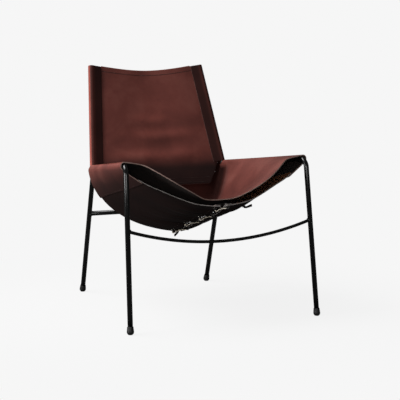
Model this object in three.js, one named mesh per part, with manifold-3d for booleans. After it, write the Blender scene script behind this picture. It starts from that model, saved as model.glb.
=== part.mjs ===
import * as THREE from 'three';
import { mergeVertices } from 'three/addons/utils/BufferGeometryUtils.js';
import Module from 'manifold-3d';

const wasm = await Module();
wasm.setup();

const { lerp, smoothstep, degToRad } = THREE.MathUtils;

// Lounge chair: a leather sling laced round a welded frame of round steel tube.
// Lengths are in millimetres. The sitter faces minus Y, and X = 0 is the chair's middle.
// Places on the frame are those of the tubes' middle lines, with Y = 0 at the front corners.
const cornerHalfWidth = 304;
const cornerHeight = 497.5;
const cornerBendRadius = 30;
const railDepth = 479;
const jointHalfWidth = 239.5;
const jointHeight = 439;
const jointBendRadius = 50;
const frontFootHalfWidth = 316.6;
const frontFootForward = 61.6;
const rearFootHalfWidth = 237.5;
const rearFootBehind = 135;
const uprightTopHalfWidth = 201.5;
const uprightTopHeight = 775;
const uprightTopBehind = 118;
const tubeDiameter = 16;
const tubeWall = 1.5;
const weldGap = 0.3;
const railEndShort = 4;

// The bowed rod that ties the front legs together, and the straight tube at the rear.
const rodDiameter = 10;
const frontRodHeight = 303.5;
const frontRodBow = 48.5;
const rearStretcherHeight = 285;

// Rubber caps on the legs and plugs in the uprights.
const capDiameter = 22;
const capTopDiameter = 18.8;
const capSeatDiameter = 12;
const capHeight = 24;
const capSole = 5;
const capRounding = 0.8;
const plugHead = 3;
const plugStem = 14;
const plugRounding = 1;

// The sling's leather, and the clearance where two layers lie on each other.
const leatherThickness = 3;
const layerGap = 0.6;
const frontSetback = 16;
const rearSetback = 11;
const seatFrontBow = 23;
const seatFrontBulge = 43;
const underFrontBow = 54;
const underRearBow = 75;
const frontLooseness = 3.5;
const rearLooseness = 9;
const seatFrontDip = 115;
const seatRearDip = 178;
const underFrontDip = 132.3;
const underRearDip = 203.5;
const laceGapWidth = 20;
const tongueHalfWidth = 183;
const tongueDraw = 4;
const tongueEar = 52;
const tongueClear = 6;
const lapHeight = 377;
const lapDepth = 27;

// The leather back and its sleeves.
const panelTopHeight = 783;
const panelTopDip = 17;
const panelSag = 9;
const panelInset = 16;
const sleeveReach = 34;
const sleeveStart = 12;
const sleeveOvershoot = 8;
const hemDepth = 18;
const hemFoldRadius = 1.9;

// Lace, eyelets and the strips under them.
const laceDiameter = 4;
const laceTail = 18;
const laceSlack = 6;
const threadReach = 6;
const eyeletInset = 10;
const eyeletBore = 7;
const eyeletBarrel = 8.4;
const eyeletFlange = 13;
const eyeletFlangeThickness = 0.8;
const anchorFlangeGap = 2.6;
const stripThickness = 2;
const puckerDepth = 6;
const clearOfLeather = 0.5;

// The seat's cross section, from the middle outwards: share of the half width, share of the dip.
const seatFrontShares = [
  [0, 1], [0.128, 0.986], [0.214, 0.926], [0.32, 0.788], [0.442, 0.626],
  [0.586, 0.415], [0.76, 0.145], [0.85, 0.06], [1, 0],
];
const seatRearShares = [
  [0, 1], [0.22, 0.985], [0.43, 0.95], [0.62, 0.865], [0.75, 0.75],
  [0.83, 0.645], [0.91, 0.405], [0.975, 0.2], [1, 0],
];
// The underside's cross section, from the rail inwards, in the same two shares.
const underFrontShares = [
  [1, 0], [0.955, 0.09], [0.88, 0.225], [0.76, 0.42], [0.62, 0.58],
  [0.45, 0.765], [0.26, 0.93], [0.1, 0.985], [0, 1],
];
const underRearShares = [
  [1, 0], [0.995, 0.09], [0.975, 0.22], [0.915, 0.4], [0.81, 0.585],
  [0.64, 0.755], [0.42, 0.885], [0.2, 0.96], [0, 1],
];
// How each dip grows from the front edge to the rear: share of the depth, share of the growth.
const seatDipShares = [
  [0, 0], [0.09, 0.02], [0.25, 0.2], [0.5, 0.7], [0.75, 0.98], [0.875, 0.98], [1, 0.85],
];
const underDipShares = [[0, 0], [0.25, 0.325], [0.5, 0.515], [0.75, 0.72], [1, 1]];
// Directions round the rail at which the leather leaves it, front and rear, in degrees.
const leaveAngles = [100, 170];
const hangAngles = [-50, -10];
// How far a sleeve's leather goes round the upright to each side, in degrees.
const sleeveTurn = 110;

// Shares along the sling's edge: of its depth for the eyelets, of the underside's run for the laps.
const lapStartShare = 0.345;
const lapEndShare = 0.4;
const lapFrontShare = 0.86;
const stripStartShare = 0.91;
const puckerFadeShare = 0.5;
const firstEyeletShare = 0.035;
const eyeletPitchShare = 0.297;
const eyeletSlantShare = 0.03;
const anchorDepthShare = 0.12;
const anchorRunShare = 0.75;
const laceExitShare = 0.985;
const laceOverShare = 0.38;
const tongueTurnShare = 0.15;
const nudgeShare = 0.005;
const eyeletPairs = 4;

// Fineness of the curved forms.
const tubeSides = 16;
const rodSides = 12;
const turnedSides = 20;
const eyeletSides = 12;
const bendSteps = 8;
const capSteps = 5;
const rearBendSteps = 6;
const laceSides = 8;
const rowSteps = 12;
const seatSteps = 8;
const wrapSteps = 6;
const tongueSteps = 3;
const panelColumns = 12;
const panelRows = 7;
const hemSteps = 3;
const sleeveSteps = 10;
const underRunShares = [
  lapStartShare, lapEndShare, 0.5, 0.6, 0.7, 0.8, stripStartShare, 0.955, 1,
];
const stripRunShares = [stripStartShare, 0.955, 1];
const dropRunShares = [0.12, 0.24, lapStartShare, lapEndShare];

const steelBlack = new THREE.MeshStandardMaterial({ color: 0x141414, roughness: 0.42, metalness: 0.3 });
const rubberBlack = new THREE.MeshStandardMaterial({ color: 0x101010, roughness: 0.8, metalness: 0 });
const plasticBlack = new THREE.MeshStandardMaterial({ color: 0x161616, roughness: 0.6, metalness: 0 });
const leatherBrown = new THREE.MeshStandardMaterial({ color: 0x5b352f, roughness: 0.5, metalness: 0 });
const leatherDark = new THREE.MeshStandardMaterial({ color: 0x3a201c, roughness: 0.52, metalness: 0 });
const eyeletNickel = new THREE.MeshStandardMaterial({ color: 0xb9b4a8, roughness: 0.35, metalness: 1 });
const laceTan = new THREE.MeshStandardMaterial({ color: 0xc9b79c, roughness: 0.7, metalness: 0 });

const sideNames = [['left', -1], ['right', 1]];

// Solids for the cuts, and back again.
function solidOf(geometry) {
  const bare = geometry.clone();
  bare.deleteAttribute('normal');
  bare.deleteAttribute('uv');
  const merged = mergeVertices(bare);
  const vertProperties = new Float32Array(merged.attributes.position.array);
  const triVerts = new Uint32Array(merged.index.array);
  return new wasm.Manifold(new wasm.Mesh({ numProp: 3, vertProperties, triVerts }));
}

function geometryOf(solid) {
  const mesh = solid.getMesh();
  const geometry = new THREE.BufferGeometry();
  geometry.setAttribute('position', new THREE.BufferAttribute(mesh.vertProperties, 3));
  geometry.setIndex(new THREE.BufferAttribute(mesh.triVerts, 1));
  geometry.computeVertexNormals();
  return geometry;
}

function cutBy(geometry, cutters) {
  let solid = solidOf(geometry);
  for (const cutter of cutters) solid = solid.subtract(solidOf(cutter));
  return geometryOf(solid);
}

// The value at a place in a table of hand-chosen shares, along straight lines between them.
function shareAt(table, place) {
  const last = table.length - 1;
  let index = 0;
  while (index < last - 1 && place > table[index + 1][0]) index += 1;
  const [fromPlace, fromValue] = table[index];
  const [toPlace, toValue] = table[index + 1];
  return lerp(fromValue, toValue, (place - fromPlace) / (toPlace - fromPlace));
}

// A tube's run in one plane: a straight stretch, one bend round the corner, a straight stretch.
class BentRun extends THREE.Curve {
  constructor(start, corner, end, radius, steps) {
    super();
    this.into = corner.clone().sub(start).normalize();
    this.out = end.clone().sub(corner).normalize();
    this.turn = this.into.angleTo(this.out);
    const reach = radius * Math.tan(this.turn / 2);
    this.start = start;
    this.end = end;
    this.bendStart = corner.clone().addScaledVector(this.into, -reach);
    this.bendEnd = corner.clone().addScaledVector(this.out, reach);
    this.across = this.out.clone().addScaledVector(this.into, -this.out.dot(this.into)).normalize();
    this.middle = this.bendStart.clone().addScaledVector(this.across, radius);
    this.radius = radius;
    this.bendSteps = steps;
    this.steps = steps + 2;
  }

  // Rings are spaced by the run's own steps, not by length.
  getUtoTmapping(share) {
    return share;
  }

  bendAngle(share) {
    const place = (share * this.steps - 1) / this.bendSteps;
    return this.turn * THREE.MathUtils.clamp(place, 0, 1);
  }

  getPoint(share) {
    const place = share * this.steps;
    if (place <= 1) return this.start.clone().lerp(this.bendStart, place);
    const past = place - this.steps + 1;
    if (past >= 0) return this.bendEnd.clone().lerp(this.end, past);
    const angle = this.bendAngle(share);
    const point = this.middle.clone().addScaledVector(this.across, -this.radius * Math.cos(angle));
    return point.addScaledVector(this.into, this.radius * Math.sin(angle));
  }

  getTangent(share) {
    const angle = this.bendAngle(share);
    const tangent = this.into.clone().multiplyScalar(Math.cos(angle));
    return tangent.addScaledVector(this.across, Math.sin(angle));
  }
}

// A run through chosen points, with a ring at each point and at equal shares between them.
class ThreadedRun extends THREE.CatmullRomCurve3 {
  constructor(points, stepsBetween) {
    super(points, false, 'centripetal');
    this.steps = (points.length - 1) * stepsBetween;
  }

  getUtoTmapping(share) {
    return share;
  }
}

function circleOutline(diameter, sides) {
  const points = [];
  for (let side = 0; side < sides; side += 1) {
    const angle = (2 * Math.PI * side) / sides;
    points.push(new THREE.Vector2(Math.cos(angle), Math.sin(angle)).multiplyScalar(diameter / 2));
  }
  return points;
}

function tubeAlong(run, diameter, sides, bore = 0) {
  const shape = new THREE.Shape(circleOutline(diameter, sides));
  if (bore > 0) shape.holes.push(new THREE.Path(circleOutline(bore, sides)));
  return new THREE.ExtrudeGeometry(shape, { steps: run.steps ?? 1, extrudePath: run });
}

// Turned pieces are made along Y, then stood along a direction at a place.
function turned(profile, sides, place, direction) {
  const points = profile.map(([radius, height]) => new THREE.Vector2(radius, height));
  const geometry = new THREE.LatheGeometry(points, sides);
  const up = new THREE.Vector3(0, 1, 0);
  geometry.applyQuaternion(new THREE.Quaternion().setFromUnitVectors(up, direction));
  return geometry.translate(place.x, place.y, place.z);
}

// Corners of the frame.
const frontFoot = (side) => new THREE.Vector3(side * frontFootHalfWidth, -frontFootForward, 0);
const frontCorner = (side) => new THREE.Vector3(side * cornerHalfWidth, 0, cornerHeight);
const rearJoint = (side) => new THREE.Vector3(side * jointHalfWidth, railDepth, jointHeight);
const rearFoot = (side) => new THREE.Vector3(side * rearFootHalfWidth, railDepth + rearFootBehind, 0);
const uprightTop = (side) => new THREE.Vector3(
  side * uprightTopHalfWidth, railDepth + uprightTopBehind, uprightTopHeight,
);

function directionFrom(start, end) {
  return end.clone().sub(start).normalize();
}

// The tube's end stands on the cap's sole, square to the leg.
function raisedFoot(foot, next) {
  return foot.clone().addScaledVector(directionFrom(foot, next), capSole + weldGap);
}

// The rail runs on to just short of the rear tube's middle line, before it is cut to fit.
function frontRun(side) {
  const joint = rearJoint(side);
  const overrun = joint.distanceTo(rearRun(side).getPoint(1 / 2)) - railEndShort;
  const intoJoint = joint.clone().addScaledVector(directionFrom(frontCorner(side), joint), overrun);
  const foot = raisedFoot(frontFoot(side), frontCorner(side));
  return new BentRun(foot, frontCorner(side), intoJoint, cornerBendRadius, bendSteps);
}

function rearRun(side) {
  const foot = raisedFoot(rearFoot(side), rearJoint(side));
  return new BentRun(foot, rearJoint(side), uprightTop(side), jointBendRadius, rearBendSteps);
}

const tubeBore = tubeDiameter - 2 * tubeWall;

// What a tube takes out of a rod or tube that is welded to it.
function weldCutter(run) {
  const clear = (tubeDiameter + 2 * weldGap) / Math.cos(Math.PI / tubeSides);
  return tubeAlong(run, clear, tubeSides);
}

// Front leg and seat rail in one bent length, its rear end shaped to the rear tube.
function frontTube(side) {
  const tube = tubeAlong(frontRun(side), tubeDiameter, tubeSides, tubeBore);
  return cutBy(tube, [weldCutter(rearRun(side))]);
}

// Rear leg and back upright in one bent length.
function rearTube(side) {
  return tubeAlong(rearRun(side), tubeDiameter, tubeSides, tubeBore);
}

// The place on a leg at a height above the floor.
function onLeg(foot, next, height) {
  return foot.clone().lerp(next, height / next.z);
}

function frontRod() {
  const left = onLeg(frontFoot(-1), frontCorner(-1), frontRodHeight);
  const right = onLeg(frontFoot(1), frontCorner(1), frontRodHeight);
  const middle = left.clone().lerp(right, 1 / 2);
  middle.z -= 2 * frontRodBow;
  const run = new THREE.QuadraticBezierCurve3(left, middle, right);
  run.steps = 2 * bendSteps;
  const rod = tubeAlong(run, rodDiameter, rodSides);
  return cutBy(rod, [weldCutter(frontRun(-1)), weldCutter(frontRun(1))]);
}

function rearStretcher() {
  const left = onLeg(rearFoot(-1), rearJoint(-1), rearStretcherHeight);
  const right = onLeg(rearFoot(1), rearJoint(1), rearStretcherHeight);
  const tube = tubeAlong(new THREE.LineCurve3(left, right), tubeDiameter, tubeSides, tubeBore);
  return cutBy(tube, [weldCutter(rearRun(-1)), weldCutter(rearRun(1))]);
}

// A soft cap pushed over the leg's end. It bulges like a ball, flat where it stands on the floor.
function footCap(foot, next) {
  const bore = (tubeDiameter / 2 + weldGap) / Math.cos(Math.PI / turnedSides);
  const radius = capDiameter / 2;
  const lift = Math.sqrt(radius ** 2 - (capSeatDiameter / 2) ** 2);
  const profile = [[0, lift - radius]];
  for (let step = 1; step <= capSteps; step += 1) {
    const angle = (Math.PI / 2) * (step / capSteps - 1);
    profile.push([radius * Math.cos(angle), lift + radius * Math.sin(angle)]);
  }
  profile.push(
    [capTopDiameter / 2, capHeight - capRounding],
    [capTopDiameter / 2 - capRounding, capHeight],
    [bore, capHeight],
    [bore, capSole],
    [0, capSole],
  );
  const cap = turned(profile, turnedSides, foot, directionFrom(foot, next));
  const floor = new THREE.BoxGeometry(4 * capHeight, 4 * capHeight, 2 * capHeight);
  floor.translate(foot.x, foot.y, foot.z - capHeight);
  return cutBy(cap, [floor]);
}

// A plug in the open top of an upright, hidden in the sleeve.
function uprightPlug(side) {
  const stem = (tubeBore / 2) * Math.cos(Math.PI / tubeSides) - weldGap;
  const profile = [
    [0, -plugStem],
    [stem - plugRounding, -plugStem],
    [stem, -plugStem + plugRounding],
    [stem, weldGap],
    [tubeDiameter / 2, weldGap],
    [tubeDiameter / 2, plugHead - plugRounding],
    [tubeDiameter / 2 - plugRounding, plugHead],
    [0, plugHead],
  ];
  const upwards = directionFrom(rearJoint(side), uprightTop(side));
  return turned(profile, tubeSides, uprightTop(side), upwards);
}

// The plane of the back holds both uprights.
const backLean = uprightTopBehind / (uprightTopHeight - jointHeight);
const backUp = new THREE.Vector3(0, backLean, 1).normalize();
const backFront = new THREE.Vector3(1, 0, 0).cross(backUp);

function onBack(x, height, offset = 0) {
  const y = railDepth + backLean * (height - jointHeight);
  return new THREE.Vector3(x, y, height).addScaledVector(backFront, offset);
}

function normalAt(rows, row, column) {
  const at = (r, c) => rows[r]?.[c];
  const here = at(row, column);
  const across = (at(row, column + 1) ?? here).clone().sub(at(row, column - 1) ?? here);
  const along = (at(row + 1, column) ?? here).clone().sub(at(row - 1, column) ?? here);
  return across.cross(along).normalize();
}

function offsetRows(rows, distance) {
  return rows.map((row, r) => row.map((point, c) => (
    point ? point.clone().addScaledVector(normalAt(rows, r, c), distance) : undefined
  )));
}

// A closed sheet of even thickness about a grid of points. A cell with a missing corner is left out.
function sheet(rows, thickness) {
  const front = offsetRows(rows, thickness / 2);
  const back = offsetRows(rows, -thickness / 2);
  const places = [];
  const quad = (a, b, c, d) => {
    for (const point of [a, b, c, a, c, d]) places.push(point.x, point.y, point.z);
  };
  const corners = (grid, r, c) => [
    grid[r]?.[c], grid[r]?.[c + 1], grid[r + 1]?.[c + 1], grid[r + 1]?.[c],
  ];
  const held = (r, c) => corners(rows, r, c).every((point) => point !== undefined);
  for (let r = 0; r < rows.length - 1; r += 1) {
    for (let c = 0; c < rows[r].length - 1; c += 1) {
      if (!held(r, c)) continue;
      const [a, b, d, e] = corners(front, r, c);
      const [a2, b2, d2, e2] = corners(back, r, c);
      quad(a, b, d, e);
      quad(e2, d2, b2, a2);
      if (!held(r - 1, c)) quad(b, a, a2, b2);
      if (!held(r, c + 1)) quad(d, b, b2, d2);
      if (!held(r + 1, c)) quad(e, d, d2, e2);
      if (!held(r, c - 1)) quad(a, e, e2, a2);
    }
  }
  const geometry = new THREE.BufferGeometry();
  geometry.setAttribute('position', new THREE.Float32BufferAttribute(places, 3));
  geometry.computeVertexNormals();
  return geometry;
}

// The rail's middle line under the leather: share 0 at the front edge, 1 at the rear edge.
function railAt(share) {
  const y = lerp(frontSetback, railDepth - rearSetback, share);
  const along = y / railDepth;
  return new THREE.Vector3(
    lerp(cornerHalfWidth, jointHalfWidth, along), y, lerp(cornerHeight, jointHeight, along),
  );
}

// The least radius of leather that is bent round a tube in steps of an angle.
function tightRadius(stepAngle) {
  return (tubeDiameter / 2 + weldGap) / Math.cos(stepAngle / 2) + leatherThickness / 2;
}

// The leather goes round the rail, tight at the front and looser towards the rear.
function wrapAt(share, turn) {
  const rail = railAt(share);
  const leave = lerp(leaveAngles[0], leaveAngles[1], share);
  const hang = lerp(hangAngles[0], hangAngles[1], share);
  const widest = Math.max(leaveAngles[1] - hangAngles[1], leaveAngles[0] - hangAngles[0]);
  const tight = tightRadius(degToRad(widest / wrapSteps));
  const radius = tight + lerp(frontLooseness, rearLooseness, share) * turn;
  const angle = degToRad(lerp(leave, hang, turn));
  return rail.add(new THREE.Vector3(radius * Math.cos(angle), 0, radius * Math.sin(angle)));
}

function blendedProfile(frontShares, rearShares, share, place) {
  const points = frontShares.map(([width, depth], index) => new THREE.Vector2(
    lerp(width, rearShares[index][0], share), lerp(depth, rearShares[index][1], share),
  ));
  return new THREE.SplineCurve(points).getPoint(place);
}

// Towards the rear the sections lean like the back. In the middle they bow forwards.
function leanedY(share, drop, fullDrop, bow, bulge = 0) {
  const down = Math.max(drop, 0) / fullDrop;
  const forwards = bow * down ** 2 + bulge * 4 * down * (1 - down);
  return railAt(share).y - backLean * share * Math.max(drop, 0) - forwards;
}

// The seat's hanging part: place 0 at the middle, 1 where it meets the rail.
function seatAt(share, place) {
  const rail = railAt(share);
  const leave = wrapAt(share, 0);
  const dip = lerp(seatFrontDip, seatRearDip, shareAt(seatDipShares, share));
  const profile = blendedProfile(seatFrontShares, seatRearShares, share, place);
  const z = lerp(leave.z, rail.z - dip, profile.y);
  const fade = 1 - share;
  const y = leanedY(share, rail.z - z, dip, seatFrontBow * fade, seatFrontBulge * fade);
  return new THREE.Vector3(leave.x * profile.x, y, z);
}

// The underside: run 0 where the leather leaves the rail, 1 at the laced edge.
function underAt(share, run) {
  const rail = railAt(share);
  const hang = wrapAt(share, 1);
  const dip = lerp(underFrontDip, underRearDip, shareAt(underDipShares, share));
  const profile = blendedProfile(underFrontShares, underRearShares, share, run);
  const x = lerp(laceGapWidth / 2, hang.x, profile.x);
  const z = lerp(hang.z, rail.z - dip, profile.y);
  const bow = lerp(underFrontBow, underRearBow, share);
  return new THREE.Vector3(x, leanedY(share, rail.z - z, dip, bow), z);
}

const eyeletShare = (side, index) => (
  firstEyeletShare + index * eyeletPitchShare + (side < 0 ? eyeletSlantShare : 0)
);

// Between the eyelets the pulled edge puckers outwards.
function pucker(side, share, run) {
  const turn = (2 * Math.PI * (share - eyeletShare(side, 0))) / eyeletPitchShare;
  const fade = smoothstep(run, puckerFadeShare, stripStartShare);
  return (puckerDepth * fade * (1 - Math.cos(turn))) / 2;
}

// A place on one side's under panel, with its outward normal, set inwards by a distance.
function underFrame(side, share, run, inwards) {
  const here = underAt(share, run);
  const across = underAt(share, run + nudgeShare).sub(underAt(share, run - nudgeShare));
  const along = underAt(share + nudgeShare, run).sub(underAt(share - nudgeShare, run));
  const normal = across.clone().cross(along).normalize();
  const point = here.addScaledVector(normal, pucker(side, share, run) - inwards);
  const inward = across.normalize();
  for (const vector of [point, normal, inward]) vector.x *= side;
  return { point, normal, inward };
}

const panelInwards = leatherThickness + layerGap;
const stripInwards = panelInwards + leatherThickness / 2 + layerGap + stripThickness / 2;

function mirroredRow(half) {
  const left = half.slice(1).reverse();
  return [...left.map((point) => new THREE.Vector3(-point.x, point.y, point.z)), ...half];
}

// The laps lie higher at the front, so the runs down to them are shorter there.
function lapRun(share, run) {
  return run <= lapEndShare ? run * lerp(lapFrontShare, 1, share) : run;
}

// One half of the seat's leather at a section, from the middle over the rail to the lap seam.
function seatHalfSection(share) {
  const half = [];
  for (let i = 0; i < seatSteps; i += 1) half.push(seatAt(share, i / seatSteps));
  for (let i = 0; i <= wrapSteps; i += 1) half.push(wrapAt(share, i / wrapSteps));
  for (const run of dropRunShares) half.push(underAt(share, lapRun(share, run)));
  return half;
}

// One column of the tongue, up from a place on the seat's rear edge to behind the back panel.
function tongueColumn(start) {
  const behind = -(leatherThickness + layerGap);
  const x = start.x - Math.sign(start.x) * tongueDraw;
  const ear = Math.min(start.z + tongueEar, sleeveBottom - tongueClear);
  const top = Math.max(lapHeight + lapDepth, ear);
  const landing = Math.max(lapHeight - lapDepth / 2, lerp(start.z, ear, 1 / 2));
  const turn = onBack(lerp(start.x, x, 1 / 2), lerp(start.z, landing, tongueTurnShare), behind);
  const bend = new THREE.QuadraticBezierCurve3(start, turn, onBack(x, landing, behind));
  const points = [];
  for (let step = 1; step <= tongueSteps; step += 1) points.push(bend.getPoint(step / tongueSteps));
  return [...points, onBack(x, top, behind)];
}

// The tongue turns up from the seat's rear edge, and closes the corners beside the back panel.
function tongueRows(rearSection) {
  const middle = (rearSection.length - 1) / 2;
  const columns = rearSection.map((start, index) => (
    Math.abs(index - middle) <= seatSteps ? tongueColumn(start) : []
  ));
  return Array.from({ length: tongueSteps + 1 }, (_, step) => columns.map((column) => column[step]));
}

function seatPanel() {
  const rows = [];
  for (let row = 0; row <= rowSteps; row += 1) {
    rows.push(mirroredRow(seatHalfSection(row / rowSteps)));
  }
  return sheet([...rows, ...tongueRows(rows[rowSteps])], leatherThickness);
}

function underRows(side, runShares, inwards) {
  const rows = [];
  for (let row = 0; row <= 2 * rowSteps; row += 1) {
    const share = row / (2 * rowSteps);
    const points = runShares.map((run) => (
      underFrame(side, share, lapRun(share, run), inwards).point
    ));
    rows.push(side < 0 ? points.reverse() : points);
  }
  return rows;
}

// An eyelet's place: in a laced pair, or where the lace's front end is made fast.
function eyeletFrame(side, index) {
  if (index === eyeletPairs) {
    return underFrame(side, anchorDepthShare, anchorRunShare, panelInwards);
  }
  const edge = underAt(0, 1);
  const runLength = edge.distanceTo(underAt(0, stripStartShare)) / (1 - stripStartShare);
  return underFrame(side, eyeletShare(side, index), 1 - eyeletInset / runLength, panelInwards);
}

// The right side has one eyelet more, for the lace's front end.
const eyeletCount = (side) => (side > 0 ? eyeletPairs + 1 : eyeletPairs);

function holeCutters(side) {
  const clear = (eyeletBarrel / 2 + weldGap) / Math.cos(Math.PI / eyeletSides);
  const low = -2 * eyeletFlange;
  const profile = [[0, low], [clear, low], [clear, eyeletFlange], [0, eyeletFlange]];
  const cutters = [];
  for (let index = 0; index < eyeletCount(side); index += 1) {
    const { point, normal } = eyeletFrame(side, index);
    cutters.push(turned(profile, eyeletSides, point, normal));
  }
  return cutters;
}

function underPanel(side) {
  const rows = underRows(side, underRunShares, panelInwards);
  return cutBy(sheet(rows, leatherThickness), holeCutters(side));
}

// A second layer of leather inside each laced edge, which the eyelets clamp.
function eyeletStrip(side) {
  const rows = underRows(side, stripRunShares, stripInwards);
  return cutBy(sheet(rows, stripThickness), holeCutters(side).slice(0, eyeletPairs));
}

// How far an eyelet's two flanges lie from the middle of the under panel.
const flangeOutside = (index) => (
  leatherThickness / 2 + (index === eyeletPairs ? anchorFlangeGap : layerGap)
);
const flangeInside = (index) => (
  flangeOutside(index) + (index === eyeletPairs ? 0 : layerGap + stripThickness)
);

function eyelet(side, index) {
  const { point, normal } = eyeletFrame(side, index);
  const high = flangeOutside(index) + eyeletFlangeThickness;
  const low = -flangeInside(index) - eyeletFlangeThickness;
  const profile = [
    [eyeletBore / 2, low],
    [eyeletFlange / 2, low],
    [eyeletFlange / 2, low + eyeletFlangeThickness],
    [eyeletBarrel / 2, low + eyeletFlangeThickness],
    [eyeletBarrel / 2, high - eyeletFlangeThickness],
    [eyeletFlange / 2, high - eyeletFlangeThickness],
    [eyeletFlange / 2, high],
    [eyeletBore / 2, high],
    [eyeletBore / 2, low],
  ];
  return turned(profile, eyeletSides, point, normal);
}

// The lace dips through an eyelet, from the inside towards the outside.
function threadThrough(side, index, from, to) {
  const { point, normal } = eyeletFrame(side, index);
  const radius = laceDiameter / 2;
  const outside = flangeOutside(index) + eyeletFlangeThickness + radius + clearOfLeather;
  const inside = flangeInside(index) + eyeletFlangeThickness + radius + clearOfLeather;
  const at = (height, towards, reach) => {
    const level = towards.clone().addScaledVector(normal, -towards.dot(normal)).normalize();
    return point.clone().addScaledVector(normal, height).addScaledVector(level, reach);
  };
  return [
    at(-inside, from, threadReach),
    at(-inside + radius / 2, from, radius / 4),
    at(0, from, 0),
    at(outside - radius / 2, to, radius / 4),
    at(outside, to, threadReach),
  ];
}

// The lace's front end: its tail, the anchor eyelet, and the slack run over to the first pair.
function laceStart() {
  const anchor = eyeletFrame(1, eyeletPairs);
  const first = eyeletFrame(-1, 0);
  const outOfAnchor = anchor.inward.clone().negate();
  const anchorToFirst = directionFrom(anchor.point, first.point);
  const threaded = threadThrough(1, eyeletPairs, anchorToFirst, outOfAnchor).reverse();
  const tailEnd = threaded[0].clone().addScaledVector(outOfAnchor, laceTail);
  const over = first.point.clone().lerp(anchor.point, laceOverShare);
  over.addScaledVector(first.normal, -(flangeInside(0) + laceSlack));
  return [tailEnd, ...threaded, over];
}

// Across each pair outside, from left to right, and back inside to the next pair.
function laceCrossings() {
  const points = [];
  for (let index = 0; index < eyeletPairs; index += 1) {
    const left = eyeletFrame(-1, index);
    const right = eyeletFrame(1, index);
    const cross = directionFrom(left.point, right.point);
    let cameFrom = cross;
    if (index > 0) cameFrom = directionFrom(left.point, eyeletFrame(1, index - 1).point);
    let goingTo = left.inward.clone().negate();
    if (index < eyeletPairs - 1) {
      goingTo = directionFrom(right.point, eyeletFrame(-1, index + 1).point);
    }
    points.push(...threadThrough(-1, index, cameFrom, cross));
    points.push(...threadThrough(1, index, goingTo, cross.clone().negate()).reverse());
  }
  return points;
}

// The lace's rear end comes out between the two laced edges.
function laceEnd() {
  const { point, normal } = underFrame(1, laceExitShare, 1, panelInwards);
  const out = new THREE.Vector3(0, normal.y, normal.z).normalize();
  const reach = flangeOutside(0) + laceDiameter;
  const at = (drop, leftwards) => (
    new THREE.Vector3(-leftwards, point.y, point.z).addScaledVector(out, drop)
  );
  return [
    at(-reach, -laceDiameter),
    at(0, 0),
    at(reach, laceDiameter),
    at(reach, laceDiameter + laceTail),
  ];
}

function lace() {
  const points = [...laceStart(), ...laceCrossings(), ...laceEnd()];
  return tubeAlong(new ThreadedRun(points, 1), laceDiameter, laceSides);
}

const sleeveBottom = jointHeight + sleeveStart;

// Half the back panel's width at a height: inside the sleeves, and drawn in below them.
function panelHalfWidth(height) {
  const beside = (level) => {
    const rise = (level - jointHeight) / (uprightTopHeight - jointHeight);
    return lerp(jointHalfWidth, uprightTopHalfWidth, rise) - panelInset;
  };
  if (height >= sleeveBottom) return beside(height);
  const below = (height - lapHeight) / (sleeveBottom - lapHeight);
  return lerp(tongueHalfWidth, beside(sleeveBottom), below);
}

// The panel's columns keep clear of the sleeves' flanges except in the outermost cell.
function panelX(column, halfWidth) {
  const lapWidth = sleeveReach - panelInset + 2 * layerGap;
  if (column === 0) return -halfWidth;
  if (column === panelColumns) return halfWidth;
  return (halfWidth - lapWidth) * ((2 * (column - 1)) / (panelColumns - 2) - 1);
}

// A place on the back panel, which sags between the sleeves and whose top edge dips.
function panelAt(height, column) {
  const halfWidth = panelHalfWidth(height);
  const x = panelX(column, halfWidth);
  const sideShare = Math.abs(x) / halfWidth;
  const aboveLap = height - lapHeight - lapDepth;
  const riseShare = aboveLap / (panelTopHeight - lapHeight - lapDepth);
  const flatShare = (sleeveReach + 2 * layerGap) / uprightTopHalfWidth;
  const sagShare = smoothstep(1 - sideShare, flatShare, 1) * smoothstep(riseShare, 0, 1 / 2);
  const settleShare = (1 - sideShare ** 2) * smoothstep(riseShare, 0, 1);
  return onBack(x, height - panelTopDip * settleShare, -panelSag * sagShare);
}

function panelHeights() {
  const lapTop = lapHeight + lapDepth;
  const heights = [lapHeight, lapTop, lerp(lapTop, sleeveBottom, 1 / 2), sleeveBottom];
  for (let row = 1; row <= panelRows; row += 1) {
    heights.push(lerp(sleeveBottom, panelTopHeight, row / panelRows));
  }
  return heights;
}

// The panel's top row turned over to the back and laid down behind, clear of the sleeves.
function hemRows(top) {
  const inner = top.map((point, column) => (
    column === 0 || column === panelColumns ? undefined : point
  ));
  const moved = (up, front) => inner.map((point) => (
    point && point.clone().addScaledVector(backUp, up).addScaledVector(backFront, front)
  ));
  const rows = [];
  for (let step = 1; step <= hemSteps; step += 1) {
    const angle = (Math.PI * step) / hemSteps;
    rows.push(moved(hemFoldRadius * Math.sin(angle), hemFoldRadius * (Math.cos(angle) - 1)));
  }
  rows.push(moved(-hemDepth, -2 * hemFoldRadius));
  return rows;
}

// The back panel, with its top edge turned over and sewn down behind.
function backPanel() {
  const rows = panelHeights().map((height) => (
    Array.from({ length: panelColumns + 1 }, (_, column) => panelAt(height, column))
  ));
  return sheet([...rows, ...hemRows(rows[rows.length - 1])], leatherThickness);
}

// A strip's outline, even in thickness about its middle line.
function ribbonOutline(line, thickness) {
  const sideOf = (sign) => line.map((point, index) => {
    const before = line[Math.max(index - 1, 0)];
    const after = line[Math.min(index + 1, line.length - 1)];
    const along = after.clone().sub(before).normalize();
    return new THREE.Vector2(-along.y, along.x).multiplyScalar((sign * thickness) / 2).add(point);
  });
  return [...sideOf(1), ...sideOf(-1).reverse()];
}

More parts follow.
